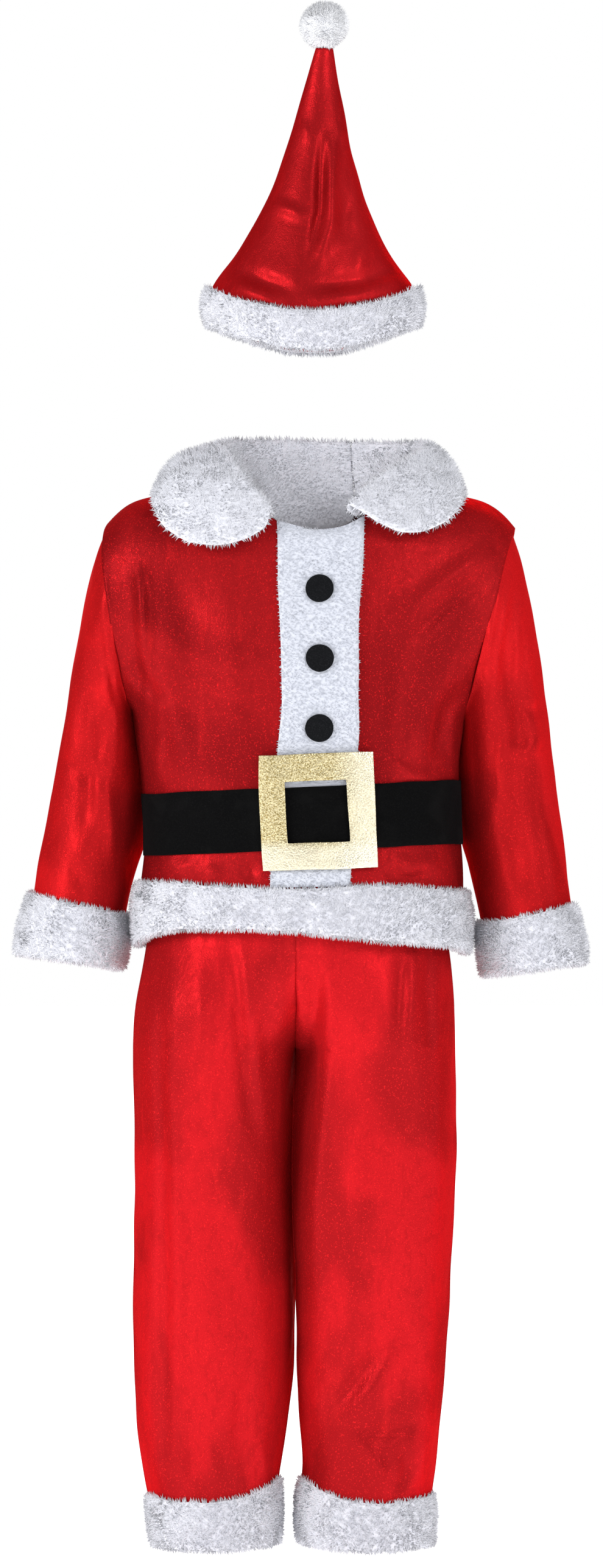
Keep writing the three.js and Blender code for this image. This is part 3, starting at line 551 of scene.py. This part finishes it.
@dataclass(frozen=True)
class Plush:
    """White plush, or its backing: matt, with a little grey painted as shade between the hairs, and a
    faint painted glow.
    """

    name: str
    body: Colour = (0.92, 0.935, 0.98)
    shade: Colour = (0.86, 0.875, 0.925)
    grain: float = 260.0
    depth: float = 0.0014
    painted_glow: float = 0.06  # painted light: the pile glows a little, in place of light that wanders about in it

    def make(self) -> bpy.types.Material:
        """The plush's material.

        Returns:
            The material, its nodes linked.
        """
        weave = Weave(self.name)
        locks = weave.noise(self.grain, 3.0, 0.6)
        clumps = weave.noise(70.0, 2.0, 0.4)
        # painted shade: the shade colour in clouds, as between the locks and clumps of hairs
        tone = weave.blend(weave.ramp(locks, 0.36, 0.6), self.shade, self.body)
        tone = weave.blend(weave.ramp(clumps, 0.3, 0.5, 0.3, 0.0), tone, self.shade)
        weave.colour(tone)
        # the emission is a painted glow that lifts the shade in the pile
        weave.set(Roughness=0.92, Specular_IOR_Level=0.12, Sheen_Weight=0.3, Sheen_Roughness=0.6,
                  Sheen_Tint=(0.95, 0.96, 1.0, 1.0), Emission_Color=(0.92, 0.94, 1.0, 1.0),
                  Emission_Strength=self.painted_glow)
        weave.bump((locks, self.depth, 0.5))
        return weave.material


@dataclass(frozen=True)
class Felt:
    """Black felt or velour: dark fibres with a faint light bloom."""

    name: str
    body: Colour
    bloom: Colour
    grain: float = 900.0

    def make(self) -> bpy.types.Material:
        """The felt's material.

        Returns:
            The material, its nodes linked.
        """
        weave = Weave(self.name)
        fibres = weave.noise(self.grain, 3.0, 1.2)
        worn = weave.noise(30.0, 3.0, 0.5)
        tone = weave.blend(weave.ramp(fibres, 0.45, 0.75, 0.0, 0.7), self.body, self.bloom)
        tone = weave.blend(weave.ramp(worn, 0.5, 0.7, 0.0, 0.4), tone, self.bloom)
        weave.colour(tone)
        weave.set(Roughness=0.9, Specular_IOR_Level=0.04, Sheen_Weight=0.02, Sheen_Roughness=0.4,
                  Sheen_Tint=(0.7, 0.7, 0.75, 1.0))
        weave.bump((worn, 0.0015, 0.3), (fibres, 0.0004, 0.6))
        return weave.material


@dataclass(frozen=True)
class GoldSheet:
    """Pebbled gold foil on a soft sheet, with a painted glare towards its lower right."""

    name: str
    body: Colour
    deep: Colour
    painted_glare: Colour  # a painted glare: the foil paler towards the lower right
    glare_across: Point = (0.02, 0.055)  # where the painted glare starts and is full, on X
    glare_down: Point = (-0.305, -0.32)  # and on Z

    def make(self) -> bpy.types.Material:
        """The foil's material.

        Returns:
            The material, its nodes linked.
        """
        weave = Weave(self.name)
        pebbles = weave.cells(560.0)
        crinkle = weave.noise(820.0, 2.0, 0.8)
        cloud = weave.noise(38.0, 2.0, 0.3)
        tone = weave.blend(weave.ramp(crinkle, 0.36, 0.6), self.deep, self.body)
        # painted glare: the foil turns paler towards the lower right, on X and on Z
        across = weave.ramp(weave.axis("X"), *self.glare_across, 0.0, 0.55)
        down = weave.ramp(weave.axis("Z"), *self.glare_down, 0.0, 0.6)
        tone = weave.blend(down, weave.blend(across, tone, self.painted_glare), self.painted_glare)
        weave.colour(tone)
        weave.roughness(weave.ramp(cloud, 0.35, 0.65, 0.22, 0.38))
        weave.set(Metallic=1.0)
        weave.bump((cloud, 0.004, 0.35), (pebbles, 0.0006, 0.45), (crinkle, 0.0004, 0.5))
        return weave.material


@dataclass(frozen=True)
class Lamp:
    """A square soft light: its place, its side and its power in watts."""

    name: str
    place: Place
    size: float
    watts: float

    def hang(self, aim: Vector) -> None:
        """Hangs the lamp so that it faces a point.

        Args:
            aim: the point.
        """
        light = bpy.data.lights.new(self.name, "AREA")
        light.size = self.size
        light.energy = self.watts
        lamp = bpy.data.objects.new(self.name, light)
        bpy.context.scene.collection.objects.link(lamp)
        lamp.location = self.place
        lamp.rotation_euler = (aim - Vector(self.place)).to_track_quat("-Z", "Y").to_euler()


@dataclass(frozen=True)
class Studio:
    """The floor, the light and the camera."""

    centre: Point = (-0.0028, -0.2565)  # the middle of the view, on X and Z
    tall: float = 1.4426  # the height of the view
    lens: float = 400.0  # millimetres: a long lens, so every height is seen nearly straight on
    film: float = 36.0
    floor_gap: float = 0.013
    floor_half: float = 40.0
    sky_light: float = 0.6
    lamps: tuple[Lamp, ...] = (
        Lamp("lamp_left", (-3.0, -2.2, 1.0), 1.2, 56.0),
        Lamp("lamp_right", (2.2, -3.2, 1.4), 1.2, 32.0),
        Lamp("lamp_back", (0.6, 3.0, 1.8), 2.0, 60.0),
    )

    def floor(self) -> None:
        """A wide plain white floor just under the suit."""
        shape = bmesh.new()
        bmesh.ops.create_grid(shape, x_segments=1, y_segments=1, size=self.floor_half)
        low = CAD_BOX[0].z - self.floor_gap
        bmesh.ops.translate(shape, verts=shape.verts, vec=(0.0, 0.0, low))
        floor = add_object("studio_floor", shape)
        weave = Weave("studio_white")
        weave.set(Base_Color=(0.6, 0.6, 0.6, 1.0), Roughness=0.9, Specular_IOR_Level=0.0,
                  Emission_Color=(1.0, 1.0, 1.0, 1.0), Emission_Strength=1.0)
        floor.data.materials.append(weave.material)

    def sky(self) -> None:
        """An even white surround, weaker as a light than it looks."""
        world = bpy.data.worlds.new("studio_sky")
        bpy.context.scene.world = world
        world.use_nodes = True
        nodes = world.node_tree.nodes
        path = nodes.new("ShaderNodeLightPath")
        strength = nodes.new("ShaderNodeMapRange")
        strength.inputs["To Min"].default_value = self.sky_light
        strength.inputs["To Max"].default_value = 1.0
        links = world.node_tree.links
        links.new(path.outputs["Is Camera Ray"], strength.inputs["Value"])
        links.new(strength.outputs["Result"], nodes["Background"].inputs["Strength"])
        nodes["Background"].inputs["Color"].default_value = (1.0, 1.0, 1.0, 1.0)

    def camera(self) -> None:
        """A level camera straight in front, far enough to hold the whole suit."""
        lens = bpy.data.cameras.new("camera")
        lens.lens = self.lens
        lens.sensor_width = self.film
        camera = bpy.data.objects.new("camera", lens)
        bpy.context.scene.collection.objects.link(camera)
        away = self.tall * self.lens / self.film
        camera.location = (self.centre[0], -away, self.centre[1])
        camera.rotation_euler = (math.pi / 2, 0.0, 0.0)
        bpy.context.scene.camera = camera

    def set_up(self) -> None:
        """Makes the floor, the lights and the camera."""
        bpy.context.scene.view_settings.view_transform = "Standard"
        self.camera()
        self.floor()
        self.sky()
        for lamp in self.lamps:
            lamp.hang(Vector((self.centre[0], 0.0, self.centre[1])))


# ---------------------------------------------------------------- making pieces


def add_object(name: str, shape: bmesh.types.BMesh) -> bpy.types.Object:
    """Turns a finished bmesh into an object at the origin.

    Args:
        name: the object's name.
        shape: the bmesh, which is used up.

    Returns:
        The object, in the scene.
    """
    mesh = bpy.data.meshes.new(name)
    shape.to_mesh(mesh)
    shape.free()
    piece = bpy.data.objects.new(name, mesh)
    bpy.context.scene.collection.objects.link(piece)
    return piece


def settle(piece: bpy.types.Object) -> None:
    """Applies a piece's modifiers to its mesh.

    Args:
        piece: the piece, whose modifiers are taken off.
    """
    view = bpy.context.evaluated_depsgraph_get()
    mesh = bpy.data.meshes.new_from_object(piece.evaluated_get(view))
    piece.modifiers.clear()
    piece.data = mesh


def cut_from(node: str) -> bmesh.types.BMesh:
    """A copy of a node's solid, its loose triangles merged and paired into quads.

    Args:
        node: the solid to copy.

    Returns:
        The copy.
    """
    shape = bmesh.new()
    shape.from_mesh(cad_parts[node].data)
    bmesh.ops.remove_doubles(shape, verts=shape.verts, dist=MERGE)
    bmesh.ops.join_triangles(shape, faces=shape.faces, angle_face_threshold=math.pi,
                             angle_shape_threshold=math.pi)
    return shape


def rim_faces(shape: bmesh.types.BMesh) -> list[bmesh.types.BMFace]:
    """The narrow faces round the edges of a wall of cloth."""
    return [face for face in shape.faces
            if sum(edge.calc_length() < WALL_MOST for edge in face.edges) == 2]


def close_seams(shape: bmesh.types.BMesh, reach: float) -> None:
    """Carries the rim of a wall of cloth out to its neighbours, over the clearance of the seams.

    Args:
        shape: the wall of cloth.
        reach: how far its rim is carried, in metres.
    """
    heading = {}
    for face in rim_faces(shape):
        for vert in face.verts:
            heading[vert] = heading.get(vert, Vector()) + face.normal
    for vert, way in heading.items():
        vert.co += way.normalized() * reach


def turn_under(shape: bmesh.types.BMesh, drop: float, tuck: float) -> None:
    """Carries the lower edge of a band down past the cloth's edge, and its inner side under it.

    Args:
        shape: the band.
        drop: how far its lower edge goes down, in metres.
        tuck: how far its inner side goes under, in metres.
    """
    under = {vert for face in shape.faces if face.normal.z < -UNDERSIDE for vert in face.verts}
    middle = sum((vert.co for vert in under), Vector()) / len(under)
    upright = [face for face in shape.faces if abs(face.normal.z) < UNDERSIDE]
    inner = {vert for face in upright for vert in face.verts
             if vert in under and (vert.co - middle).dot(face.normal) < 0}
    for vert in under:
        vert.co.z -= drop
    for vert in inner:
        way = middle - vert.co
        way.z = 0.0
        vert.co += way.normalized() * tuck


def rounded(node: str, name: str, levels: int, crisp: float,
            shaped: Callable[[bmesh.types.BMesh], None] | None = None) -> bpy.types.Object:
    """A smooth copy of a node's solid.

    Args:
        node: the solid to copy.
        name: the new piece's name.
        levels: how many times each face is split.
        crisp: how sharp the rim of the cloth stays, from 0 to 1.
        shaped: what is done to the copy before it is rounded.

    Returns:
        The new piece, its rounding applied.
    """
    shape = cut_from(node)
    if shaped:
        shaped(shape)
    crease = shape.edges.layers.float.new("crease_edge")
    for edge in shape.edges:
        if edge.calc_face_angle(0.0) > SHARP:
            edge[crease] = crisp
    piece = add_object(name, shape)
    split = piece.modifiers.new("rounding", "SUBSURF")
    split.levels = levels
    split.render_levels = levels
    settle(piece)
    for polygon in piece.data.polygons:
        polygon.use_smooth = True
    return piece


def hand_in(piece: bpy.types.Object, node: str | None, finish: bpy.types.Material) -> None:
    """Gives a piece its finish and its body, and hides the node that it stands for.

    Args:
        piece: the finished piece.
        node: the node of the frame, or None for a pile.
        finish: its material.
    """
    piece.data.materials.clear()
    piece.data.materials.append(finish)
    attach(piece, BODY)
    if node:
        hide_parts(node)
    piece.data.calc_loop_triangles()
    LOG.info("%s: %d triangles", piece.name, len(piece.data.loop_triangles))


@dataclass(frozen=True)
class Cut:
    """A piece of cloth as it is cut: its node, its flat width and length, and its flat area."""

    node: str
    width: float
    length: float
    area: float | None = None
    held: Held = Held.DRAPED
    reach: float = 0.0001  # how far its rim is carried out at the seams
    draw: float = 0.0  # how far the upper part of a sleeve is drawn in to the body's side

    def declare(self, piece: bpy.types.Object, extras: tuple[bpy.types.Object, ...] = ()) -> None:
        """Takes a piece and does nothing with it: no cut of cloth is recorded."""


@dataclass(frozen=True)
class Pile:
    """The hairs of a plush: tufts of three faces, sown at random and leaning."""

    length: float
    width: float
    sown: float  # tufts to a square metre
    lean: float = 0.55
    lumps: float = 1.2  # millimetres
    sink: float = 1.2  # millimetres that the backing lies under the solid's face
    soft: float = 0.85  # the share of the backing's own light in the tufts
    locks: float = 55.0  # locks of tufts that lean together, to a metre
    short: float = 0.65  # the shortest and the longest tuft, as shares of the length
    long: float = 1.25

    def roots(self, piece: bpy.types.Object, seed: int) -> None:
        """Sinks the backing and makes it uneven.

        Args:
            piece: the backing.
            seed: the seed of its unevenness.
        """
        mesh = piece.data
        points = read_points(mesh)
        normals = np.empty(len(mesh.vertices) * 3, np.float32)
        mesh.vertices.foreach_get("normal", normals)
        swell = Swell(22.0, self.lumps, seed, waves=24, upright=1.0).push(points / MM)
        depth = (swell.sum(axis=1) / math.sqrt(3) - self.sink) * MM
        write_points(mesh, points + normals.reshape(-1, 3) * depth[:, None])

    def sow(self, tree: bpy.types.NodeTree, seed: int) -> bpy.types.Node:
        """Scatters the roots of the tufts over the faces that show pile.

        Args:
            tree: the geometry nodes being made.
            seed: the seed of the scattering.

        Returns:
            The node that scatters them.
        """
        nodes, link = tree.nodes, tree.links.new
        shown = nodes.new("GeometryNodeInputNamedAttribute")
        shown.data_type = "FLOAT"
        shown.inputs["Name"].default_value = "shown"
        thick = nodes.new("ShaderNodeMath")
        thick.operation = "MULTIPLY"
        thick.inputs[1].default_value = self.sown
        link(shown.outputs["Attribute"], thick.inputs[0])
        sown = nodes.new("GeometryNodeDistributePointsOnFaces")
        sown.inputs["Seed"].default_value = seed
        link(nodes.new("NodeGroupInput").outputs[0], sown.inputs["Mesh"])
        link(thick.outputs[0], sown.inputs["Density"])
        return sown

    def heading(self, tree: bpy.types.NodeTree, normal: bpy.types.NodeSocket,
                seed: int) -> bpy.types.NodeSocket:
        """Turns each tuft the way its lock lies, and a little off it.

        Args:
            tree: the geometry nodes being made.
            normal: the normal of the backing at each root.
            seed: the seed of the small turns.

        Returns:
            The tufts' rotations.
        """
        nodes, link = tree.nodes, tree.links.new
        lock = nodes.new("ShaderNodeTexNoise")
        lock.inputs["Scale"].default_value = self.locks
        lock.inputs["Detail"].default_value = 2.0
        centred = nodes.new("ShaderNodeVectorMath")
        centred.operation = "MULTIPLY_ADD"
        centred.inputs[1].default_value = (4 * self.lean,) * 3
        centred.inputs[2].default_value = (-2 * self.lean,) * 3
        link(lock.outputs["Color"], centred.inputs[0])
        stray = nodes.new("FunctionNodeRandomValue")
        stray.data_type = "FLOAT_VECTOR"
        stray.inputs["Min"].default_value = (-0.5 * self.lean,) * 3
        stray.inputs["Max"].default_value = (0.5 * self.lean,) * 3
        stray.inputs["Seed"].default_value = seed
        swept = nodes.new("ShaderNodeVectorMath")
        link(normal, swept.inputs[0])
        link(centred.outputs[0], swept.inputs[1])
        strayed = nodes.new("ShaderNodeVectorMath")
        link(swept.outputs[0], strayed.inputs[0])
        link(stray.outputs[0], strayed.inputs[1])
        turn = nodes.new("FunctionNodeAlignRotationToVector")
        turn.axis = "Z"
        link(strayed.outputs[0], turn.inputs["Vector"])
        return turn.outputs[0]

    def grown(self, tree: bpy.types.NodeTree, seed: int) -> bpy.types.NodeSocket:
        """How long each tuft has grown, as a share of the pile's length.

        Args:
            tree: the geometry nodes being made.
            seed: the seed of the lengths.

        Returns:
            A factor on each tuft's size.
        """
        node = tree.nodes.new("FunctionNodeRandomValue")
        node.data_type = "FLOAT"
        least, most = [socket for socket in node.inputs if socket.type == "VALUE"][:2]
        least.default_value, most.default_value = self.short, self.long
        node.inputs["Seed"].default_value = seed
        return next(socket for socket in node.outputs if socket.type == "VALUE")

    def tuft(self, tree: bpy.types.NodeTree) -> bpy.types.NodeSocket:
        """One tuft: a cone of three faces.

        Args:
            tree: the geometry nodes being made.

        Returns:
            The tuft's mesh.
        """
        cone = tree.nodes.new("GeometryNodeMeshCone")
        cone.fill_type = "NONE"
        cone.inputs["Vertices"].default_value = 3
        cone.inputs["Radius Top"].default_value = 0.0
        cone.inputs["Radius Bottom"].default_value = self.width
        cone.inputs["Depth"].default_value = self.length
        return cone.outputs["Mesh"]

    def tree(self, seed: int) -> bpy.types.NodeTree:
        """The geometry nodes that grow the pile.

        Args:
            seed: the first seed of the pile's random draws.

        Returns:
            The geometry nodes, ready for a modifier.
        """
        tree = bpy.data.node_groups.new("sown_pile", "GeometryNodeTree")
        tree.interface.new_socket("Geometry", in_out="INPUT", socket_type="NodeSocketGeometry")
        tree.interface.new_socket("Geometry", in_out="OUTPUT", socket_type="NodeSocketGeometry")
        nodes, link = tree.nodes, tree.links.new
        sown = self.sow(tree, seed)
        rooted = nodes.new("GeometryNodeStoreNamedAttribute")
        rooted.data_type = "FLOAT_VECTOR"
        rooted.inputs["Name"].default_value = "root_normal"
        link(sown.outputs["Points"], rooted.inputs["Geometry"])
        link(sown.outputs["Normal"], rooted.inputs["Value"])
        plant = nodes.new("GeometryNodeInstanceOnPoints")
        link(rooted.outputs["Geometry"], plant.inputs["Points"])
        link(self.tuft(tree), plant.inputs["Instance"])
        link(self.heading(tree, sown.outputs["Normal"], seed + 1), plant.inputs["Rotation"])
        link(self.grown(tree, seed + 2), plant.inputs["Scale"])
        made = nodes.new("GeometryNodeRealizeInstances")
        link(plant.outputs["Instances"], made.inputs[0])
        link(made.outputs[0], nodes.new("NodeGroupOutput").inputs[0])
        return tree

    def grow(self, backing: bpy.types.Object, name: str, shown: np.ndarray, seed: int) -> bpy.types.Object:
        """Sows the pile on a backing.

        Args:
            backing: the piece that the hairs grow from.
            name: the pile's name.
            shown: a share for each face, 1 where the pile is full and 0 where it has none.
            seed: the seed of its random draws.

        Returns:
            The pile as one mesh.
        """
        share = backing.data.attributes.new("shown", "FLOAT", "FACE")
        share.data.foreach_set("value", shown.astype(np.float32))
        pile = bpy.data.objects.new(name, backing.data)
        bpy.context.scene.collection.objects.link(pile)
        pile.modifiers.new("pile", "NODES").node_group = self.tree(seed)
        settle(pile)
        self.soften(pile.data)
        return pile

    def soften(self, mesh: bpy.types.Mesh) -> None:
        """Lights the tufts mostly as their backing is lit, as light lies in a deep pile.

        Args:
            mesh: the pile.
        """
        roots = np.empty(len(mesh.vertices) * 3, np.float32)
        mesh.attributes["root_normal"].data.foreach_get("vector", roots)
        own = np.empty(len(mesh.vertices) * 3, np.float32)
        mesh.vertices.foreach_get("normal", own)
        lit = (roots * self.soft + own * (1 - self.soft)).reshape(-1, 3)
        lit /= np.maximum(np.linalg.norm(lit, axis=1), 1e-6)[:, None]
        for polygon in mesh.polygons:
            polygon.use_smooth = True
        mesh.normals_split_custom_set_from_vertices(lit.tolist())
        mesh.attributes.remove(mesh.attributes["root_normal"])


def face_data(mesh: bpy.types.Mesh) -> tuple[np.ndarray, np.ndarray]:
    """The middles and the normals of a mesh's faces.

    Args:
        mesh: the mesh to read.

    Returns:
        The middles and the normals, each as rows of x, y, z.
    """
    middles = np.empty(len(mesh.polygons) * 3, np.float32)
    normals = np.empty(len(mesh.polygons) * 3, np.float32)
    mesh.polygons.foreach_get("center", middles)
    mesh.polygons.foreach_get("normal", normals)
    return middles.reshape(-1, 3), normals.reshape(-1, 3)


# ---------------------------------------------------------------- the suit's sub-assemblies


@dataclass(frozen=True)
class VelvetPanels:
    """Panels of velvet that are sewn to each other, in one finish."""

    cuts: tuple[Cut, ...]
    velvet: Velvet
    levels: int = 3

    def build(self) -> None:
        """Makes every panel of the group."""
        finish = self.velvet.make()
        for cut in self.cuts:
            panel = rounded(cut.node, cut.node + "_velvet", self.levels, 1.0,
                            lambda shape, reach=cut.reach: close_seams(shape, reach))
            SUIT_DRAPE.lay(panel.data)
            draw_in(panel.data, cut.draw)
            hand_in(panel, cut.node, finish)
            cut.declare(panel)


class Nap(Enum):
    """Which faces of a trim carry pile."""

    ALL = "all"
    AROUND = "around"
    BEFORE = "before"


@dataclass(frozen=True)
class PlushTrims:
    """Plush trims of one kind: bands round an opening, the strip down the front, or the collar."""

    cuts: tuple[Cut, ...]
    pile: Pile
    nap: Nap
    plush: Plush
    seed: int
    levels: int = 2
    crisp: float = 0.0
    shaping: Callable[[bmesh.types.BMesh], None] | None = None

    def shown(self, mesh: bpy.types.Mesh) -> np.ndarray:
        """The share of the pile that each face carries.

        Args:
            mesh: the backing.

        Returns:
            A share from 0 to 1 for each face.
        """
        middles, normals = face_data(mesh)
        if self.nap is Nap.ALL:
            return np.ones(len(middles))
        if self.nap is Nap.BEFORE:
            return np.clip(0.5 - normals[:, 1] * 2.0, 0.0, 1.0)
        out = middles - middles.mean(axis=0)
        out[:, 2] = 0.0
        out /= np.linalg.norm(out, axis=1)[:, None]
        facing = (out * normals).sum(axis=1)
        return np.where(facing > -0.35, 1.0, 0.08)

    def build(self) -> None:
        """Makes every trim of the group, each as a backing and its pile."""
        finish = self.plush.make()
        for k, cut in enumerate(self.cuts):
            seed = self.seed + 10 * k
            backing = rounded(cut.node, cut.node + "_backing", self.levels, self.crisp, self.shaping)
            self.pile.roots(backing, seed)
            SUIT_DRAPE.lay(backing.data)
            pile = self.pile.grow(backing, cut.node + "_pile", self.shown(backing.data), seed)
            hand_in(backing, cut.node, finish)
            hand_in(pile, None, finish)
            cut.declare(backing, (pile,))


@dataclass(frozen=True)
class Pompom:
    """The ball of plush at the hat's tip."""

    node: str
    pile: Pile
    plush: Plush
    seed: int = 400

    def build(self) -> None:
        """Makes the ball and its pile."""
        low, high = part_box(self.node)
        shape = bmesh.new()
        bmesh.ops.create_icosphere(shape, subdivisions=5, radius=(high.z - low.z) / 2)
        bmesh.ops.translate(shape, verts=shape.verts, vec=(low + high) / 2)
        ball = add_object(self.node + "_backing", shape)
        self.pile.roots(ball, self.seed)
        pile = self.pile.grow(ball, self.node + "_pile", np.ones(len(ball.data.polygons)), self.seed)
        finish = self.plush.make()
        for polygon in ball.data.polygons:
            polygon.use_smooth = True
        hand_in(ball, self.node, finish)
        hand_in(pile, None, finish)


@dataclass(frozen=True)
class Belt:
    """The black velour belt with its gold buckle."""

    strap: Cut
    buckle: str
    velour: Felt
    foil: GoldSheet
    levels: int = 3
    crisp: float = 0.75
    round_edge: float = 0.0007
    split: int = 2

    def build_strap(self) -> None:
        """The strap, all round the waist."""
        strap = rounded(self.strap.node, self.strap.node + "_strap", self.levels, self.crisp)
        SUIT_DRAPE.lay(strap.data)
        hand_in(strap, self.strap.node, self.velour.make())
        self.strap.declare(strap)

    def build_buckle(self) -> None:
        """The square frame, its edges softened and its face a little wavy."""
        shape = cut_from(self.buckle)
        sharp = [edge for edge in shape.edges if edge.calc_face_angle(0.0) > SHARP]
        bmesh.ops.bevel(shape, geom=sharp, offset=self.round_edge, offset_type="OFFSET", segments=3,
                        profile=0.5, affect="EDGES", material=-1, clamp_overlap=True)
        frame_piece = add_object(self.buckle + "_foil", shape)
        split = frame_piece.modifiers.new("split", "SUBSURF")
        split.subdivision_type = "SIMPLE"
        split.levels = self.split
        split.render_levels = self.split
        settle(frame_piece)
        for polygon in frame_piece.data.polygons:
            polygon.use_smooth = True
        SUIT_DRAPE.lay(frame_piece.data)
        hand_in(frame_piece, self.buckle, self.foil.make())

    def build(self) -> None:
        """Makes the strap and the buckle."""
        self.build_strap()
        self.build_buckle()


@dataclass(frozen=True)
class Buttons:
    """The three felt buttons on the strip."""

    nodes: tuple[str, ...]
    felt: Felt
    side: float = 0.026
    levels: int = 3
    crisp: float = 0.72

    def build(self) -> None:
        """Makes each button: a disc with a soft edge."""
        finish = self.felt.make()
        for node in self.nodes:
            disc = rounded(node, node + "_felt", self.levels, self.crisp)
            SUIT_DRAPE.lay(disc.data)
            hand_in(disc, node, finish)


JACKET = VelvetPanels(
    cuts=(
        Cut("jacket_front", 0.42, 0.44, 0.164),
        Cut("jacket_back_left", 0.27, 0.43, 0.102),
        Cut("jacket_back_right", 0.185, 0.43, 0.068),
    ),
    velvet=Velvet("velvet_jacket", (0.36, 0.010, 0.0125), (0.235, 0.007, 0.009), (0.80, 0.016, 0.018)),
)
SLEEVES = VelvetPanels(
    cuts=(
        Cut("sleeve_left", 0.29, 0.41, 0.086, reach=0.0008, draw=0.0024),
        Cut("sleeve_right", 0.30, 0.42, 0.090, reach=0.0008, draw=0.0028),
    ),
    velvet=Velvet("velvet_sleeves", (0.60, 0.012, 0.015), (0.40, 0.009, 0.011), (0.86, 0.018, 0.02)),
)
TROUSERS = VelvetPanels(
    cuts=(
        Cut("trouser_front_left", 0.24, 0.65, 0.138, reach=0.0009),
        Cut("trouser_front_right", 0.24, 0.65, 0.136, reach=0.0009),
        Cut("trouser_back_left", 0.245, 0.65, 0.141, reach=0.0009),
        Cut("trouser_back_right", 0.245, 0.65, 0.139, reach=0.0009),
        Cut("trouser_waistband", 0.032, 0.62, held=Held.GATHERED),
    ),
    velvet=Velvet("velvet_trousers", (0.59, 0.012, 0.017), (0.38, 0.0095, 0.0125), (0.90, 0.022, 0.024)),
)
HAT = VelvetPanels(
    cuts=(Cut("hat_front", 0.25, 0.29, 0.037), Cut("hat_back", 0.25, 0.29, 0.037)),
    velvet=Velvet("velvet_hat", (0.46, 0.012, 0.0155), (0.34, 0.009, 0.0115), (0.82, 0.016, 0.02),
                  gloss=0.6, painted_glints=0.35),
)
BANDS = PlushTrims(
    cuts=(
        Cut("hem_trim", 0.056, 0.82, held=Held.HUNG),
        Cut("sleeve_cuff_left", 0.072, 0.24, held=Held.HUNG),
        Cut("sleeve_cuff_right", 0.070, 0.24, held=Held.HUNG),
        Cut("trouser_cuff_left", 0.065, 0.315, held=Held.HUNG),
        Cut("trouser_cuff_right", 0.066, 0.317, held=Held.HUNG),
        Cut("hat_brim", 0.055, 0.385, held=Held.HUNG),
    ),
    pile=Pile(length=0.0044, width=0.0008, sown=400000, lumps=0.6, sink=0.9, soft=0.92),
    nap=Nap.AROUND,
    plush=Plush("plush_bands", (0.85, 0.855, 0.92), (0.79, 0.80, 0.87), painted_glow=0.03),
    seed=100,
    crisp=0.8,
    shaping=lambda shape: turn_under(shape, 0.0022, 0.0034),
)
STRIP = PlushTrims(
    cuts=(Cut("front_strip", 0.078, 0.345, held=Held.LAID),),
    pile=Pile(length=0.0020, width=0.0006, sown=440000, lean=0.2, lumps=0.08, sink=0.3, soft=0.98),
    nap=Nap.BEFORE,
    plush=Plush("plush_strip", (0.70, 0.725, 0.80), (0.66, 0.685, 0.765),
                grain=420.0, depth=0.0002, painted_glow=0.0),
    seed=200,
    crisp=0.9,
)
COLLAR = PlushTrims(
    cuts=(
        Cut("collar_left", 0.12, 0.45, 0.046, held=Held.LAID),
        Cut("collar_right", 0.12, 0.28, 0.029, held=Held.LAID),
    ),
    pile=Pile(length=0.0044, width=0.0008, sown=250000, lumps=0.35, sink=0.5, soft=0.92),
    nap=Nap.ALL,
    plush=Plush("plush_collar", (0.80, 0.81, 0.875), (0.77, 0.78, 0.845), painted_glow=0.09),
    seed=300,
    levels=3,
    crisp=0.3,
)
POMPOM = Pompom(
    "hat_pompom",
    pile=Pile(length=0.0055, width=0.0008, sown=1600000, lean=0.6, lumps=0.8, sink=2.4, soft=0.95),
    plush=Plush("plush_pompom", (0.97, 0.975, 1.0), (0.92, 0.93, 0.97), painted_glow=0.12),
)
BELT = Belt(
    strap=Cut("belt", 0.06, 0.80, 0.047),
    buckle="buckle",
    velour=Felt("velour_black", (0.0026, 0.0026, 0.0028), (0.007, 0.007, 0.007)),
    foil=GoldSheet("foil_gold", (0.82, 0.72, 0.44), (0.36, 0.27, 0.10), (0.97, 0.92, 0.76)),
)
BUTTONS = Buttons(
    ("button_1", "button_2", "button_3"),
    felt=Felt("felt_black", (0.0065, 0.007, 0.008), (0.02, 0.02, 0.023)),
)


def main() -> None:
    """Builds the studio and every sub-assembly."""
    logging.basicConfig(level=logging.INFO, format="%(message)s")
    Studio().set_up()
    for part in (JACKET, SLEEVES, TROUSERS, HAT, BANDS, STRIP, COLLAR, POMPOM, BELT, BUTTONS):
        part.build()


if __name__ == "__main__":
    main()
